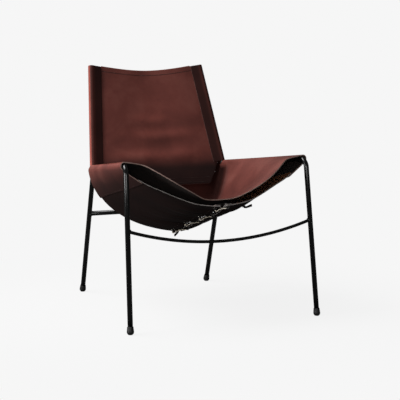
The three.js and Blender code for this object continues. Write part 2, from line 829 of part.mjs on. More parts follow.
// A sleeve's middle line, seen along the upright: a flange, the turn round the tube, a flange.
function sleeveLine() {
  const stepAngle = degToRad((2 * sleeveTurn) / sleeveSteps);
  const radius = tightRadius(stepAngle);
  const lift = leatherThickness + layerGap;
  const waist = lerp(lift, radius, 1 / 2);
  const line = [new THREE.Vector2(-sleeveReach, lift), new THREE.Vector2(-panelInset, waist)];
  for (let step = 0; step <= sleeveSteps; step += 1) {
    const angle = degToRad(sleeveTurn) - step * stepAngle;
    line.push(new THREE.Vector2(Math.cos(angle), Math.sin(angle)).multiplyScalar(radius));
  }
  line.push(new THREE.Vector2(-panelInset, -waist), new THREE.Vector2(-sleeveReach, -lift));
  return line;
}

// A sleeve: leather folded round the upright, its two flanges sewn to the back panel's edge.
function backSleeve(side) {
  const outline = ribbonOutline(sleeveLine(), leatherThickness);
  const shape = new THREE.Shape(outline.map((point) => new THREE.Vector2(side * point.x, point.y)));
  const upwards = directionFrom(rearJoint(side), uprightTop(side));
  const depth = rearJoint(side).distanceTo(uprightTop(side)) - sleeveStart + sleeveOvershoot;
  const geometry = new THREE.ExtrudeGeometry(shape, { depth, bevelEnabled: false });
  const downwards = upwards.clone().negate();
  const sideways = backFront.clone().cross(downwards);
  geometry.applyMatrix4(new THREE.Matrix4().makeBasis(sideways, backFront, downwards));
  const top = uprightTop(side).addScaledVector(upwards, sleeveOvershoot);
  return geometry.translate(top.x, top.y, top.z);
}

function piece(name, geometry, material) {
  const mesh = new THREE.Mesh(geometry, material);
  mesh.name = name;
  return mesh;
}

function frameGroup() {
  const group = new THREE.Group();
  for (const [name, side] of sideNames) {
    group.add(piece(`${name}_front_leg_and_rail`, frontTube(side), steelBlack));
    group.add(piece(`${name}_rear_leg_and_upright`, rearTube(side), steelBlack));
    group.add(piece(`${name}_upright_plug`, uprightPlug(side), plasticBlack));
    group.add(piece(`front_${name}_foot_cap`, footCap(frontFoot(side), frontCorner(side)), rubberBlack));
    group.add(piece(`rear_${name}_foot_cap`, footCap(rearFoot(side), rearJoint(side)), rubberBlack));
  }
  group.add(piece('front_stretcher', frontRod(), steelBlack));
  group.add(piece('rear_stretcher', rearStretcher(), steelBlack));
  return group;
}

function slingGroup() {
  const group = new THREE.Group();
  group.add(piece('seat_panel', seatPanel(), leatherBrown));
  group.add(piece('back_panel', backPanel(), leatherBrown));
  for (const [name, side] of sideNames) {
    group.add(piece(`${name}_back_sleeve`, backSleeve(side), leatherDark));
    group.add(piece(`${name}_under_panel`, underPanel(side), leatherBrown));
    group.add(piece(`${name}_eyelet_strip`, eyeletStrip(side), leatherDark));
    for (let index = 0; index < eyeletCount(side); index += 1) {
      group.add(piece(`${name}_eyelet_${index + 1}`, eyelet(side, index), eyeletNickel));
    }
  }
  group.add(piece('lace', lace(), laceTan));
  return group;
}

// The origin is on the floor, under the middle of the chair's own box.
const chair = new THREE.Group();
chair.add(frameGroup(), slingGroup());
const reach = new THREE.Box3().setFromObject(chair);
const middle = reach.getCenter(new THREE.Vector3());
chair.position.set(-middle.x, -middle.y, -reach.min.z);

export default chair;
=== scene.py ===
import functools
import math

import bmesh
import bpy
import numpy as np
from mathutils import Matrix, Vector, noise


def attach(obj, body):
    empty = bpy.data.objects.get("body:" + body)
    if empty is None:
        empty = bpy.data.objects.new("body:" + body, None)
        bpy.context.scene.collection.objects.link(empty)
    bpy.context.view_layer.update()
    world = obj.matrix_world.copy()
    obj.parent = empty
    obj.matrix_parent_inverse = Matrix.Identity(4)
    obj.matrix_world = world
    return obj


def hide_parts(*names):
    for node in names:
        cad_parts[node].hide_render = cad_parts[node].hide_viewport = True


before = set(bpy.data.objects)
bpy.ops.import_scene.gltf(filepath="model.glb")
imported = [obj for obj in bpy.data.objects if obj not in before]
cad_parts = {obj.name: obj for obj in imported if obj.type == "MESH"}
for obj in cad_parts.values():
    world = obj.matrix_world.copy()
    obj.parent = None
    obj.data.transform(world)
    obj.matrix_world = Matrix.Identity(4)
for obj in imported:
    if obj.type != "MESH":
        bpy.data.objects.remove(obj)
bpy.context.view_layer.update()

# Viewpoint. The photograph looks at the chair from its front left, a little above the seat,
# through a long lens.
lens_mm = 107.475
look_down = 7.128
look_right = 24.238


def put_in_scene(name, data):
    thing = bpy.data.objects.new(name, data)
    bpy.context.scene.collection.objects.link(thing)
    return thing


viewpoint = put_in_scene("viewpoint", bpy.data.cameras.new("viewpoint"))
viewpoint.data.sensor_width = 36
viewpoint.data.lens = lens_mm
viewpoint.location = (-1.5490, -3.5756, 0.8350)
viewpoint.rotation_euler = (math.radians(90 - look_down), 0, math.radians(-look_right))
bpy.context.scene.camera = viewpoint

# Side tubes. Each side of the frame is two lengths of round steel tube: the front leg bent into the
# seat rail, and the rear leg bent into the back's upright. The rail is welded to the rear tube.
# All four are cold bent, then powder coated black with the rest of the frame.
sides = ((-1, "left"), (1, "right"))
tube_radius = 0.008
tube_wall = 0.0015
tube_sides = 32
bend_steps = 24
rail_bend_radius = 0.030
upright_bend_radius = 0.050
front_foot_x = 0.3166
corner_x = 0.304
joint_x = 0.2395
rear_foot_x = 0.2375
upright_top_x = 0.2015
corner_y = -0.275454
corner_height = 0.4975
rail_depth = 0.479
joint_y = corner_y + rail_depth
joint_height = 0.439
front_leg_rake = 0.0616
rear_leg_rake = 0.135
upright_top_y = joint_y + 0.118
upright_top_height = 0.775
cap_sole = 0.005


def front_foot(side):
    return Vector((side * front_foot_x, corner_y - front_leg_rake, 0))


def front_corner(side):
    return Vector((side * corner_x, corner_y, corner_height))


def rear_joint(side):
    return Vector((side * joint_x, joint_y, joint_height))


def rear_foot(side):
    return Vector((side * rear_foot_x, joint_y + rear_leg_rake, 0))


def upright_top(side):
    return Vector((side * upright_top_x, upright_top_y, upright_top_height))


def standing(place, direction):
    """A matrix that stands a shape made along Z at a place, along a direction."""
    turn = Vector((0, 0, 1)).rotation_difference(direction)
    return Matrix.Translation(place) @ turn.to_matrix().to_4x4()


def mesh_of(bm, name):
    mesh = bpy.data.meshes.new(name)
    bm.to_mesh(mesh)
    bm.free()
    return mesh


def piece_of(bm, name, finishes, slot, replaced=()):
    """Turns a finished bmesh into a smooth piece that rides on the chair's one body."""
    mesh = mesh_of(bm, name)
    mesh.shade_smooth()
    for finish in finishes:
        mesh.materials.append(finish)
    piece = put_in_scene(name, mesh)
    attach(piece, "root")
    if replaced:
        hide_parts(*replaced)
    return piece


def solid_piece(bm, *description):
    """A piece from a closed shape, whose normals are turned outwards first."""
    bmesh.ops.recalc_face_normals(bm, faces=bm.faces)
    return piece_of(bm, *description)


def linear(hex_colour):
    """An sRGB colour written in hex, as the linear colour that a shader takes."""
    shares = [int(hex_colour[i : i + 2], 16) / 255 for i in (1, 3, 5)]
    return [s / 12.92 if s <= 0.04045 else ((s + 0.055) / 1.055) ** 2.4 for s in shares] + [1]


def add_node(material, kind, settings=(), links=()):
    """Adds one node. Settings are its sockets or properties by name, links are sockets by name."""
    tree = material.node_tree
    node = tree.nodes.new(kind)
    for key, value in dict(settings).items():
        if isinstance(key, int) or key in node.inputs:
            node.inputs[key].default_value = value
        else:
            setattr(node, key, value)
    for key, output in dict(links).items():
        tree.links.new(output, node.inputs[key])
    return node


def new_finish(name, colour, roughness, **sockets):
    """A material whose surface is one Principled shader, and that shader."""
    material = bpy.data.materials.new(name)
    material.use_nodes = True
    shader = material.node_tree.nodes["Principled BSDF"]
    shader.inputs["Base Color"].default_value = linear(colour)
    shader.inputs["Roughness"].default_value = roughness
    for socket, value in sockets.items():
        shader.inputs[socket.replace("_", " ")].default_value = value
    return material, shader


def feed(shader, **outputs):
    """Links outputs to the shader's sockets."""
    for socket, output in outputs.items():
        shader.id_data.links.new(output, shader.inputs[socket.replace("_", " ")])


def cloudy(material, size, detail=2.0, **settings):
    """Noise between 0 and 1, with features of a real size in metres."""
    place = add_node(material, "ShaderNodeTexCoord").outputs["Object"]
    settings |= {"Scale": 1 / size, "Detail": detail}
    return add_node(material, "ShaderNodeTexNoise", settings, {"Vector": place}).outputs["Fac"]


def spread(material, value, low, high):
    """Noise mostly lies between 0.3 and 0.7. This spreads it from a low to a high value."""
    settings = {"From Min": 0.3, "From Max": 0.7, "To Min": low, "To Max": high}
    return add_node(material, "ShaderNodeMapRange", settings, {"Value": value}).outputs["Result"]


def weighted(material, value, weight, added, **settings):
    """A value times a weight, plus a number or another value."""
    settings |= {"operation": "MULTIPLY_ADD", 1: weight}
    links = {0: value}
    (settings if isinstance(added, float) else links)[2] = added
    return add_node(material, "ShaderNodeMath", settings, links).outputs["Value"]


def toned(material, value, *stops):
    """The colour at a value, on a ramp whose stops are a place and a hex colour each."""
    ramp = add_node(material, "ShaderNodeValToRGB", links={"Fac": value})
    elements = ramp.color_ramp.elements
    elements[0].position, elements[1].position = stops[0][0], stops[-1][0]
    for place, _ in stops[1:-1]:
        elements.new(place)
    for element, (_, colour) in zip(elements, stops):
        element.color = linear(colour)
    return ramp.outputs["Color"]


def add_bump(material, shader, height, depth, strength=1.0):
    """Relief of a real depth in metres, from a height between 0 and 1."""
    settings = {"Strength": strength, "Distance": depth}
    bump = add_node(material, "ShaderNodeBump", settings, {"Height": height})
    feed(shader, Normal=bump.outputs["Normal"])


def powder_coat():
    """Black polyester powder coat, baked on: satin, with a faint orange peel of 1.5 mm."""
    material, shader = new_finish("black_powder_coat", "#030303", 0.22, Specular_IOR_Level=0.45)
    add_bump(material, shader, cloudy(material, 0.0015), 0.000002)
    feed(shader, Roughness=spread(material, cloudy(material, 1 / 14, 3.0), 0.18, 0.25))
    return material


coat = powder_coat()


def bent_tube(name, start, corner, end, bend_radius, replaced):
    """A circle drawn out straight, turned round the bend, and drawn out straight again."""
    into = (corner - start).normalized()
    out = (end - corner).normalized()
    turn = into.angle(out)
    reach = bend_radius * math.tan(turn / 2)
    across = (out - out.dot(into) * into).normalized()
    bm = bmesh.new()
    stand = standing(start, into)
    bmesh.ops.create_circle(bm, segments=tube_sides, radius=tube_radius, matrix=stand)

    def draw_out(ring, distance):
        made = bmesh.ops.extrude_edge_only(bm, edges=ring)["geom"]
        verts = [g for g in made if isinstance(g, bmesh.types.BMVert)]
        bmesh.ops.translate(bm, verts=verts, vec=distance)
        on = set(verts)
        return [e for e in bm.edges if e.verts[0] in on and e.verts[1] in on]

    ring = draw_out(bm.edges[:], corner - reach * into - start)
    bend = {"cent": corner - reach * into + bend_radius * across, "axis": into.cross(across)}
    bent = bmesh.ops.spin(bm, geom=ring, angle=turn, steps=bend_steps, **bend)
    ring = [g for g in bent["geom_last"] if isinstance(g, bmesh.types.BMEdge)]
    draw_out(ring, end - corner - reach * out)
    tube = solid_piece(bm, name, [coat], "black_steel", replaced)
    wall = tube.modifiers.new("wall", "SOLIDIFY")
    wall.thickness = tube_wall
    wall.offset = -1


for side, word in sides:
    for foot, bend, end, bend_radius, leg, top in (
        (front_foot, front_corner, rear_joint, rail_bend_radius, "front", "rail"),
        (rear_foot, rear_joint, upright_top, upright_bend_radius, "rear", "upright"),
    ):
        start = foot(side) + cap_sole * (bend(side) - foot(side)).normalized()
        name, replaced = f"{word}_leg_and_{top}_tube", [f"{word}_{leg}_leg_and_{top}"]
        bent_tube(name, start, bend(side), end(side), bend_radius, replaced)

# Stretchers. The front legs are tied by a thin solid rod, bowed down in an even curve. The rear
# legs are tied by a straight length of the same tube that they are made of. Each end is shaped to
# its leg and welded on, with a bead that the coating runs over.
rod_radius = 0.005
rod_sides = 24
rod_steps = 64
front_rod_height = 0.3035
front_rod_bow = 0.0485
front_rod_span = 0.618
rear_tube_height = 0.285
bead_radius = 0.0021
bead_offset = 0.0004
bead_sides = 8
bead_steps = 48
bead_ripples = 14
ripple_depth = 0.05
tube_end_radius = 0.0072
rail_end_gap = 0.0026
weld_tolerance = 1e-6


def front_rod_end(side):
    return front_foot(side).lerp(front_corner(side), front_rod_height / corner_height)


def rear_tube_end(side):
    return rear_foot(side).lerp(rear_joint(side), rear_tube_height / joint_height)


def bowed_rod():
    """The front rod: a disc turned along an arc through the two legs."""
    left, right = front_rod_end(-1), front_rod_end(1)
    half = (right - left).length / 2
    radius = (half**2 + front_rod_bow**2) / (2 * front_rod_bow)
    turn = 2 * math.asin(half / radius)
    centre = (left + right) / 2 + Vector((0, 0, radius - front_rod_bow))
    start = (right - left).normalized()
    start.rotate(Matrix.Rotation(turn / 2, 3, "Y"))
    bm = bmesh.new()
    disc = {"cap_ends": True, "radius": rod_radius, "matrix": standing(left, start)}
    bmesh.ops.create_circle(bm, segments=rod_sides, **disc)
    bmesh.ops.spin(bm, geom=bm.faces[:], cent=centre, axis=(0, -1, 0), angle=turn, steps=rod_steps)
    solid_piece(bm, "front_stretcher_rod", [coat], "black_steel", ["front_stretcher"])


def add_cylinder(bm, segments, radius, depth, matrix):
    size = {"radius1": radius, "radius2": radius, "depth": depth}
    bmesh.ops.create_cone(bm, cap_ends=True, segments=segments, matrix=matrix, **size)


def straight_tube():
    left, right = rear_tube_end(-1), rear_tube_end(1)
    bm = bmesh.new()
    stand = standing((left + right) / 2, Vector((1, 0, 0)))
    add_cylinder(bm, tube_sides, tube_radius, (right - left).length, stand)
    piece_of(bm, "rear_stretcher_tube", [coat], "black_steel", ["rear_stretcher"])


bowed_rod()
straight_tube()


def turn_round(bm, geom, steps):
    """Turns a profile all the way round Z, and joins its last place to its first."""
    whole = {"cent": (0, 0, 0), "axis": (0, 0, 1), "angle": 2 * math.pi}
    bmesh.ops.spin(bm, geom=geom, steps=steps, use_merge=True, **whole)
    bmesh.ops.remove_doubles(bm, verts=bm.verts, dist=weld_tolerance)


def weld_bead(name, place, leaving, along_tube, end_radius):
    """A bead round a rod's end, laid on the round of the tube that it is welded to."""
    bm = bmesh.new()
    centre = Matrix.Translation((end_radius + bead_offset, 0, 0))
    upright = centre @ Matrix.Rotation(math.pi / 2, 4, "X")
    bmesh.ops.create_circle(bm, segments=bead_sides, radius=bead_radius, matrix=upright)
    turn_round(bm, bm.edges[:], bead_steps)
    stand = standing(place, leaving)
    side_axis = (stand.to_3x3().inverted() @ along_tube).cross(Vector((0, 0, 1))).normalized()
    for vert in bm.verts:
        off_axis = vert.co.dot(side_axis)
        height = math.sqrt(max(tube_radius**2 - off_axis**2, 0))
        angle = math.atan2(vert.co.y, vert.co.x)
        ripple = 1 + ripple_depth * math.sin(bead_ripples * angle)
        vert.co = vert.co * ripple + Vector((0, 0, height))
    bmesh.ops.transform(bm, matrix=stand, verts=bm.verts)
    solid_piece(bm, name, [coat], "black_steel")


for side, word in sides:
    inwards = Vector((-side, 0, 0))
    rod_way = (inwards - Vector((0, 0, 4 * front_rod_bow / front_rod_span))).normalized()
    leg_way = front_corner(side) - front_foot(side)
    weld_bead(f"front_{word}_rod_weld", front_rod_end(side), rod_way, leg_way, rod_radius)
    leg_way = rear_joint(side) - rear_foot(side)
    weld_bead(f"rear_{word}_tube_weld", rear_tube_end(side), inwards, leg_way, tube_end_radius)
    rail_way = (front_corner(side) - rear_joint(side)).normalized()
    rail_end = rear_joint(side) - rail_end_gap * rail_way
    upright_way = upright_top(side) - rear_foot(side)
    weld_bead(f"{word}_rail_weld", rail_end, rail_way, upright_way, tube_end_radius)

# Foot caps. A soft black rubber cap is pushed over each leg's end, square to the leg. It swells
# like a ball at the foot, is flat where it stands on the floor, and ends in a thin collar.
cap_radius = 0.011
cap_top = 0.0094
cap_height = 0.024
cap_rounding = 0.0008
cap_bore = 0.0083
cap_seat = 0.006
cap_ball_steps = 14
cap_sides = 40
cap_edge = 0.0004
cap_edge_angle = 30
sole_insets = ((0.0012, 0), (0.0016, 0), (0.0004, -0.0005))


def moulded_rubber():
    """Moulded black rubber: dull, with fine grit of 0.8 mm and dust on it."""
    material, shader = new_finish("moulded_rubber", "#060606", 0.55)
    add_bump(material, shader, cloudy(material, 0.0008, 3.0), 0.00008)
    dust = cloudy(material, 1 / 90, 4.0)
    feed(shader, Base_Color=toned(material, dust, (0, "#050505"), (1, "#0d0c0c")))
    return material


rubber = moulded_rubber()


def spun(profile, steps):
    """A turned shape: a profile of (radius, height) pairs spun about Z."""
    bm = bmesh.new()
    verts = [bm.verts.new((radius, 0, height)) for radius, height in profile]
    edges = [bm.edges.new(pair) for pair in zip(verts, verts[1:])]
    turn_round(bm, verts + edges, steps)
    bmesh.ops.dissolve_degenerate(bm, edges=bm.edges, dist=weld_tolerance / 10)
    return bm


def rounded(corner_from, corner, corner_to, radius, steps=4):
    """The points of a rounded corner of a profile."""
    before, at, after = Vector(corner_from), Vector(corner), Vector(corner_to)
    start = at + (before - at).normalized() * radius
    end = at + (after - at).normalized() * radius
    places = [i / steps for i in range(steps + 1)]
    return [tuple(start.lerp(at, t).lerp(at.lerp(end, t), t)) for t in places]


def stand_up(bm, place, direction):
    bmesh.ops.transform(bm, matrix=standing(place, direction), verts=bm.verts)


def ease_edges(piece, width, from_angle):
    """Takes the sharpness off the edges that turn by more than an angle in degrees."""
    edge = piece.modifiers.new("edge", "BEVEL")
    edge.width = width
    edge.segments = 2
    edge.limit_method = "ANGLE"
    edge.angle_limit = math.radians(from_angle)
    edge.use_clamp_overlap = True


def foot_cap(name, foot, top, replaced):
    lift = math.sqrt(cap_radius**2 - cap_seat**2)
    angles = [math.pi / 2 * (step / cap_ball_steps - 1) for step in range(cap_ball_steps + 1)]
    profile = [(cap_radius * math.cos(a), lift + cap_radius * math.sin(a)) for a in angles]
    profile[0] = (0, lift - cap_radius)
    profile += rounded(profile[-1], (cap_top, cap_height), (cap_bore, cap_height), cap_rounding)
    profile += [(cap_bore, cap_height), (cap_bore, cap_sole), (0, cap_sole)]
    bm = spun(profile, cap_sides)
    stand_up(bm, foot, (top - foot).normalized())
    everything = bm.verts[:] + bm.edges[:] + bm.faces[:]
    floor = {"plane_co": (0, 0, 0), "plane_no": (0, 0, -1), "clear_outer": True}
    cut = bmesh.ops.bisect_plane(bm, geom=everything, **floor)
    rim = [g for g in cut["geom_cut"] if isinstance(g, bmesh.types.BMEdge)]
    sole = bmesh.ops.edgeloop_fill(bm, edges=rim)["faces"]
    for width, depth in sole_insets:
        bmesh.ops.inset_region(bm, faces=sole, thickness=width, depth=depth)
    cap = solid_piece(bm, name, [rubber], "black_rubber", [replaced])
    ease_edges(cap, cap_edge, cap_edge_angle)


for side, word in sides:
    for end, foot, top in (("front", front_foot, front_corner), ("rear", rear_foot, rear_joint)):
        foot_cap(f"{end}_{word}_rubber_foot", foot(side), top(side), f"{end}_{word}_foot_cap")

# Upright plugs. A black plastic plug closes the open top of each upright, down inside its sleeve.
# Its head is as wide as the tube, and its stem is a push fit in the bore.
plug_head = 0.003
plug_stem = 0.014
plug_play = 0.0002
plug_shoulder = 0.0003
plug_rounding = 0.001
plug_sides = 32

for side, word in sides:
    stem = tube_radius - tube_wall - plug_play
    profile = [(0, -plug_stem), (stem - plug_rounding, -plug_stem)]
    profile += [(stem, -plug_stem + plug_rounding), (stem, plug_shoulder)]
    profile += [(tube_radius, plug_shoulder)]
    profile += rounded((tube_radius, 0), (tube_radius, plug_head), (0, plug_head), plug_rounding)
    profile += [(0, plug_head)]
    bm = spun(profile, plug_sides)
    stand_up(bm, upright_top(side), (upright_top(side) - rear_joint(side)).normalized())
    solid_piece(bm, f"{word}_tube_plug", [rubber], "black_plastic", [f"{word}_upright_plug"])

# Seat leather. One piece of thick cowhide hangs between the rails, goes over them to a lap seam on
# their outsides, and has a tongue at the rear that is sewn behind the back panel. Its grain side is
# dyed and waxed, with painted shade in the deep fold before the back, where it also takes a duller
# shaded copy of its finish, painted shade towards its lower seams and a painted highlight over the
# rails. Its flesh side is painted near black as shade, and its cut edges are paler.
leather_thickness = 0.003
leather_edge = 0.0006
cut_edge_angle = 50
layer_gap = 0.0006
tube_play = 0.0003
front_setback = 0.016
rear_setback = 0.011
front_looseness = 0.0035
rear_looseness = 0.009
seat_front_dip = 0.115
seat_rear_dip = 0.178
seat_front_bow = 0.023
seat_front_bulge = 0.043
under_front_dip = 0.1323
under_rear_dip = 0.2035
under_front_bow = 0.054
under_rear_bow = 0.075
lace_gap_width = 0.020
tongue_draw = 0.0002
tongue_ear = 0.052
tongue_clear = 0.0002
sleeve_start = 0.012
sleeve_bottom = joint_height + sleeve_start
lap_height = 0.377
lap_depth = 0.027
lap_start = 0.345
lap_end = 0.4
lap_front_share = 0.86
leave_angles = (100, 170)
hang_angles = (-50, -10)
wrap_arc = 160
seat_steps = 8
wrap_steps = 6
lap_steps = 4
seat_front_shares = ((0, 1), (0.128, 0.986), (0.214, 0.926), (0.32, 0.788), (0.442, 0.626))
seat_front_shares += ((0.586, 0.415), (0.76, 0.145), (0.85, 0.06), (1, 0))
seat_rear_shares = ((0, 1), (0.22, 0.985), (0.43, 0.95), (0.62, 0.865), (0.75, 0.75))
seat_rear_shares += ((0.83, 0.645), (0.91, 0.405), (0.975, 0.2), (1, 0))
under_front_shares = ((1, 0), (0.955, 0.09), (0.88, 0.225), (0.76, 0.42), (0.62, 0.58))
under_front_shares += ((0.45, 0.765), (0.26, 0.93), (0.1, 0.985), (0, 1))
under_rear_shares = ((1, 0), (0.995, 0.09), (0.975, 0.22), (0.915, 0.4), (0.81, 0.585))
under_rear_shares += ((0.64, 0.755), (0.42, 0.885), (0.2, 0.96), (0, 1))
seat_dip_shares = ((0, 0), (0.09, 0.02), (0.25, 0.2), (0.5, 0.7), (0.75, 0.98))
seat_dip_shares += ((0.875, 0.98), (1, 0.85))
under_dip_shares = ((0, 0), (0.25, 0.325), (0.5, 0.515), (0.75, 0.72), (1, 1))
lap_runs = ((0, 0), (1, 0.12), (2, 0.24), (3, lap_start), (lap_steps, lap_end))
back_lean = (upright_top_y - joint_y) / (upright_top_height - joint_height)
back_up = Vector((0, back_lean, 1)).normalized()
back_front = Vector((1, 0, 0)).cross(back_up)


def mix(start, end, share):
    return start + (end - start) * share


def ease(value, low, high):
    """Rises smoothly from 0 at low to 1 at high."""
    t = min(max((value - low) / (high - low), 0), 1)
    return t * t * (3 - 2 * t)


@functools.cache
def share_at(table, place):
    places, values = zip(*table)
    return float(np.interp(place, places, values))


def spline_at(points, place):
    """A place on the smooth line through evenly numbered points."""
    last = len(points) - 1
    index = min(int(place * last), last - 1)
    t = place * last - index
    start, end = points[index], points[index + 1]
    leaving = (end - points[max(index - 1, 0)]) / 2
    arriving = (points[min(index + 2, last)] - start) / 2
    cubic = (2 * start - 2 * end + leaving + arriving) * t**3
    square = (3 * end - 3 * start - 2 * leaving - arriving) * t**2
    return cubic + square + leaving * t + start


@functools.cache
def rail_at(share):
    depth = mix(front_setback, rail_depth - rear_setback, share)
    return front_corner(1).lerp(rear_joint(1), depth / rail_depth)


def leather_round_tube(step_angle):
    """The radius of leather's middle layer round a tube, so that its straight steps clear it."""
    return (tube_radius + tube_play) / math.cos(step_angle / 2) + leather_thickness / 2


@functools.cache
def wrap_at(share, turn):
    """The leather's middle layer where it goes round the rail."""
    tight = leather_round_tube(math.radians(wrap_arc / wrap_steps))
    radius = tight + mix(front_looseness, rear_looseness, share) * turn
    leave, hang = mix(*leave_angles, share), mix(*hang_angles, share)
    angle = math.radians(mix(leave, hang, turn))
    return rail_at(share) + Vector((radius * math.cos(angle), 0, radius * math.sin(angle)))


@functools.cache
def blended_shares(front_shares, rear_shares, share):
    return [Vector(f).lerp(Vector(r), share) for f, r in zip(front_shares, rear_shares)]


def leaned_y(share, drop, full_drop, bow, bulge=0.0):
    """Towards the rear the sections lean like the back. In the middle they bow forwards."""
    drop = max(drop, 0)
    down = drop / full_drop
    forwards = bow * down**2 + bulge * 4 * down * (1 - down)
    return rail_at(share).y - back_lean * share * drop - forwards


def seat_at(share, place):
    """The hanging seat: place 0 in the middle, 1 where it meets the rail."""
    rail, leave = rail_at(share), wrap_at(share, 0)
    dip = mix(seat_front_dip, seat_rear_dip, share_at(seat_dip_shares, share))
    shares = blended_shares(seat_front_shares, seat_rear_shares, share)
    across, down = spline_at(shares, place)
    z = mix(leave.z, rail.z - dip, down)
    bow, bulge = seat_front_bow * (1 - share), seat_front_bulge * (1 - share)
    return Vector((leave.x * across, leaned_y(share, rail.z - z, dip, bow, bulge), z))


@functools.cache
def under_at(share, run):
    """The underside: run 0 where the leather leaves the rail, 1 at the laced edge."""
    rail, hang = rail_at(share), wrap_at(share, 1)
    dip = mix(under_front_dip, under_rear_dip, share_at(under_dip_shares, share))
    shares = blended_shares(under_front_shares, under_rear_shares, share)
    across, down = spline_at(shares, run)
    z = mix(hang.z, rail.z - dip, down)
    y = leaned_y(share, rail.z - z, dip, mix(under_front_bow, under_rear_bow, share))
    return Vector((mix(lace_gap_width / 2, hang.x, across), y, z))


def under_ways(share, run):
    """The way across the underside towards the laced edge, and its outward normal."""
    nudge = 0.005
    across = under_at(share, run + nudge) - under_at(share, run - nudge)
    along = under_at(share + nudge, run) - under_at(share - nudge, run)
    return across.normalized(), across.cross(along).normalized()


def on_back(x, height, offset=0.0):
    """A place on the plane of the uprights, set forwards by an offset."""
    y = joint_y + back_lean * (height - joint_height)
    return Vector((x, y, height)) + back_front * offset


def lap_run(share, run):
    """The laps lie higher at the front, so the runs down to them are shorter there."""
    return run * mix(lap_front_share, 1, share) if run <= lap_end else run


def seat_section(share, column):
    """The seat's section: column 0 in the middle, then the rail's turn, then down to the seam."""
    side = -1 if column < 0 else 1
    place = abs(column)
    if place <= seat_steps:
        point = seat_at(share, place / seat_steps)
    elif place <= seat_steps + wrap_steps:
        point = wrap_at(share, (place - seat_steps) / wrap_steps)
    else:
        below = share_at(lap_runs, place - seat_steps - wrap_steps)
        point = under_at(share, lap_run(share, below))
    return Vector((side * point.x, point.y, point.z))


def tongue_at(column, step):
    """The tongue: step 0 on the seat's rear edge, 1 where it lands behind the panel, 2 its top."""
    start = seat_section(1, column)
    behind = -(leather_thickness + layer_gap)
    x = start.x - math.copysign(min(tongue_draw, abs(start.x)), start.x)
    ear = min(start.z + tongue_ear, sleeve_bottom - tongue_clear)
    top = max(lap_height + lap_depth, ear)
    landing = max(lap_height - lap_depth / 2, mix(start.z, ear, 0.5))
    if step > 1:
        return on_back(x, mix(landing, top, step - 1), behind)
    turn = on_back(mix(start.x, x, 0.5), mix(start.z, landing, 0.15), behind)
    land = on_back(x, landing, behind)
    return start.lerp(turn, step).lerp(turn.lerp(land, step), step)


def grid_of(columns, rows, place_at, shade_at=None):
    """A grid whose points go where a function says. A point without a place is taken out. Each
    keeps its painted shade: 0 as dyed, 1 darkest, and below 0 a painted highlight."""
    bm = bmesh.new()
    bm.loops.layers.uv.new("UVMap")
    shade = bm.verts.layers.float.new("shade")
    bmesh.ops.create_grid(bm, x_segments=columns, y_segments=rows, size=1, calc_uvs=True)
    dropped = []
    for vert in bm.verts:
        column = round((vert.co.x + 1) / 2 * columns)
        row = round((vert.co.y + 1) / 2 * rows)
        place = place_at(column, row)
        if place is None:
            dropped.append(vert)
            continue
        vert.co = place
        if shade_at:
            vert[shade] = shade_at(column, row)
    bmesh.ops.delete(bm, geom=dropped, context="VERTS")
    return bm


def thicken(piece, thickness, edge_width):
    """Leather from a smoothed sheet: thick about its middle layer, with its cut edges eased."""
    smooth = piece.modifiers.new("smooth", "SUBSURF")
    smooth.levels = smooth.render_levels = 1
    wall = piece.modifiers.new("leather", "SOLIDIFY")
    wall.thickness = thickness
    wall.offset = 0
    wall.use_even_offset = True
    wall.material_offset = 1
    wall.material_offset_rim = 2
    ease_edges(piece, edge_width, cut_edge_angle)


def grain_leather(name, dark, middle, light, roughness, gloss=0.2):
    """Full-grain cowhide, drum dyed and lightly waxed: a close grain of 1.6 mm pebbles, over a tone
    that drifts across the hide in 110 mm and a faint mottle of 12 mm. The shade attribute paints
    shade on it, darker and duller, and below 0 paints a highlight, lighter and glossier."""
    material, shader = new_finish(name, middle, roughness, Specular_IOR_Level=gloss)
    place = add_node(material, "ShaderNodeTexCoord").outputs["Object"]
    settings = {"feature": "SMOOTH_F1", "Scale": 1 / 0.0016, "Smoothness": 0.6}
    pebbles = add_node(material, "ShaderNodeTexVoronoi", settings, {"Vector": place})
    drift = cloudy(material, 0.110, 3.0, Distortion=0.4)
    mottle = cloudy(material, 0.012, 4.0, Roughness=0.6)
    tone = weighted(material, mottle, 0.15, drift)
    dyed = toned(material, tone, (0.4, dark), (0.58, middle), (0.76, light))
    # The shade attribute carries painted shade, and below 0 a painted highlight.
    painted_shade = add_node(material, "ShaderNodeAttribute", {"attribute_name": "shade"}).outputs["Fac"]
    links = {"Vector": dyed, "Scale": weighted(material, painted_shade, -0.92, 1.0)}
    tinted = add_node(material, "ShaderNodeVectorMath", {"operation": "SCALE"}, links)
    shine = spread(material, drift, roughness - 0.04, roughness + 0.05)
    dulled = weighted(material, painted_shade, 0.3, shine)
    feed(shader, Base_Color=tinted.outputs["Vector"], Roughness=dulled)
    relief = weighted(material, mottle, 0.5, pebbles.outputs["Distance"])
    add_bump(material, shader, relief, 0.00008, 0.5)
    return material


def flesh_side(name, dark, light):
    """The hide's unfinished inner side: a dull, short nap with fibres of about 1 mm."""
    material, shader = new_finish(name, dark, 0.92)
    nap = cloudy(material, 0.001, 5.0, Roughness=0.7)
    tone = weighted(material, nap, 0.5, cloudy(material, 0.02, 4.0))
    feed(shader, Base_Color=toned(material, tone, (0.45, dark), (1, light)))
    add_bump(material, shader, nap, 0.0001, 0.5)
    return material


seat_tones = ("#60332d", "#6d3a33", "#79453d")
seat_grain = grain_leather("brown_full_grain_leather", *seat_tones, 0.46, 0.26)
# A duller, shaded copy of the seat's grain finish: painted shade for the deep fold before the back.
shaded_fold_grain = grain_leather("shaded_full_grain_leather", *seat_tones, 0.6, 0.06)
# Painted shade: the seat's flesh side is near black, so the pocket under the seat looks in shadow.
shade_dark_flesh = flesh_side("shade_dark_flesh_side", "#140a07", "#28150d")
cut_edge = flesh_side("burnished_cut_edge", "#80645c", "#a88f86")
inked_edge = flesh_side("inked_cut_edge", "#3a231f", "#5a3a34")

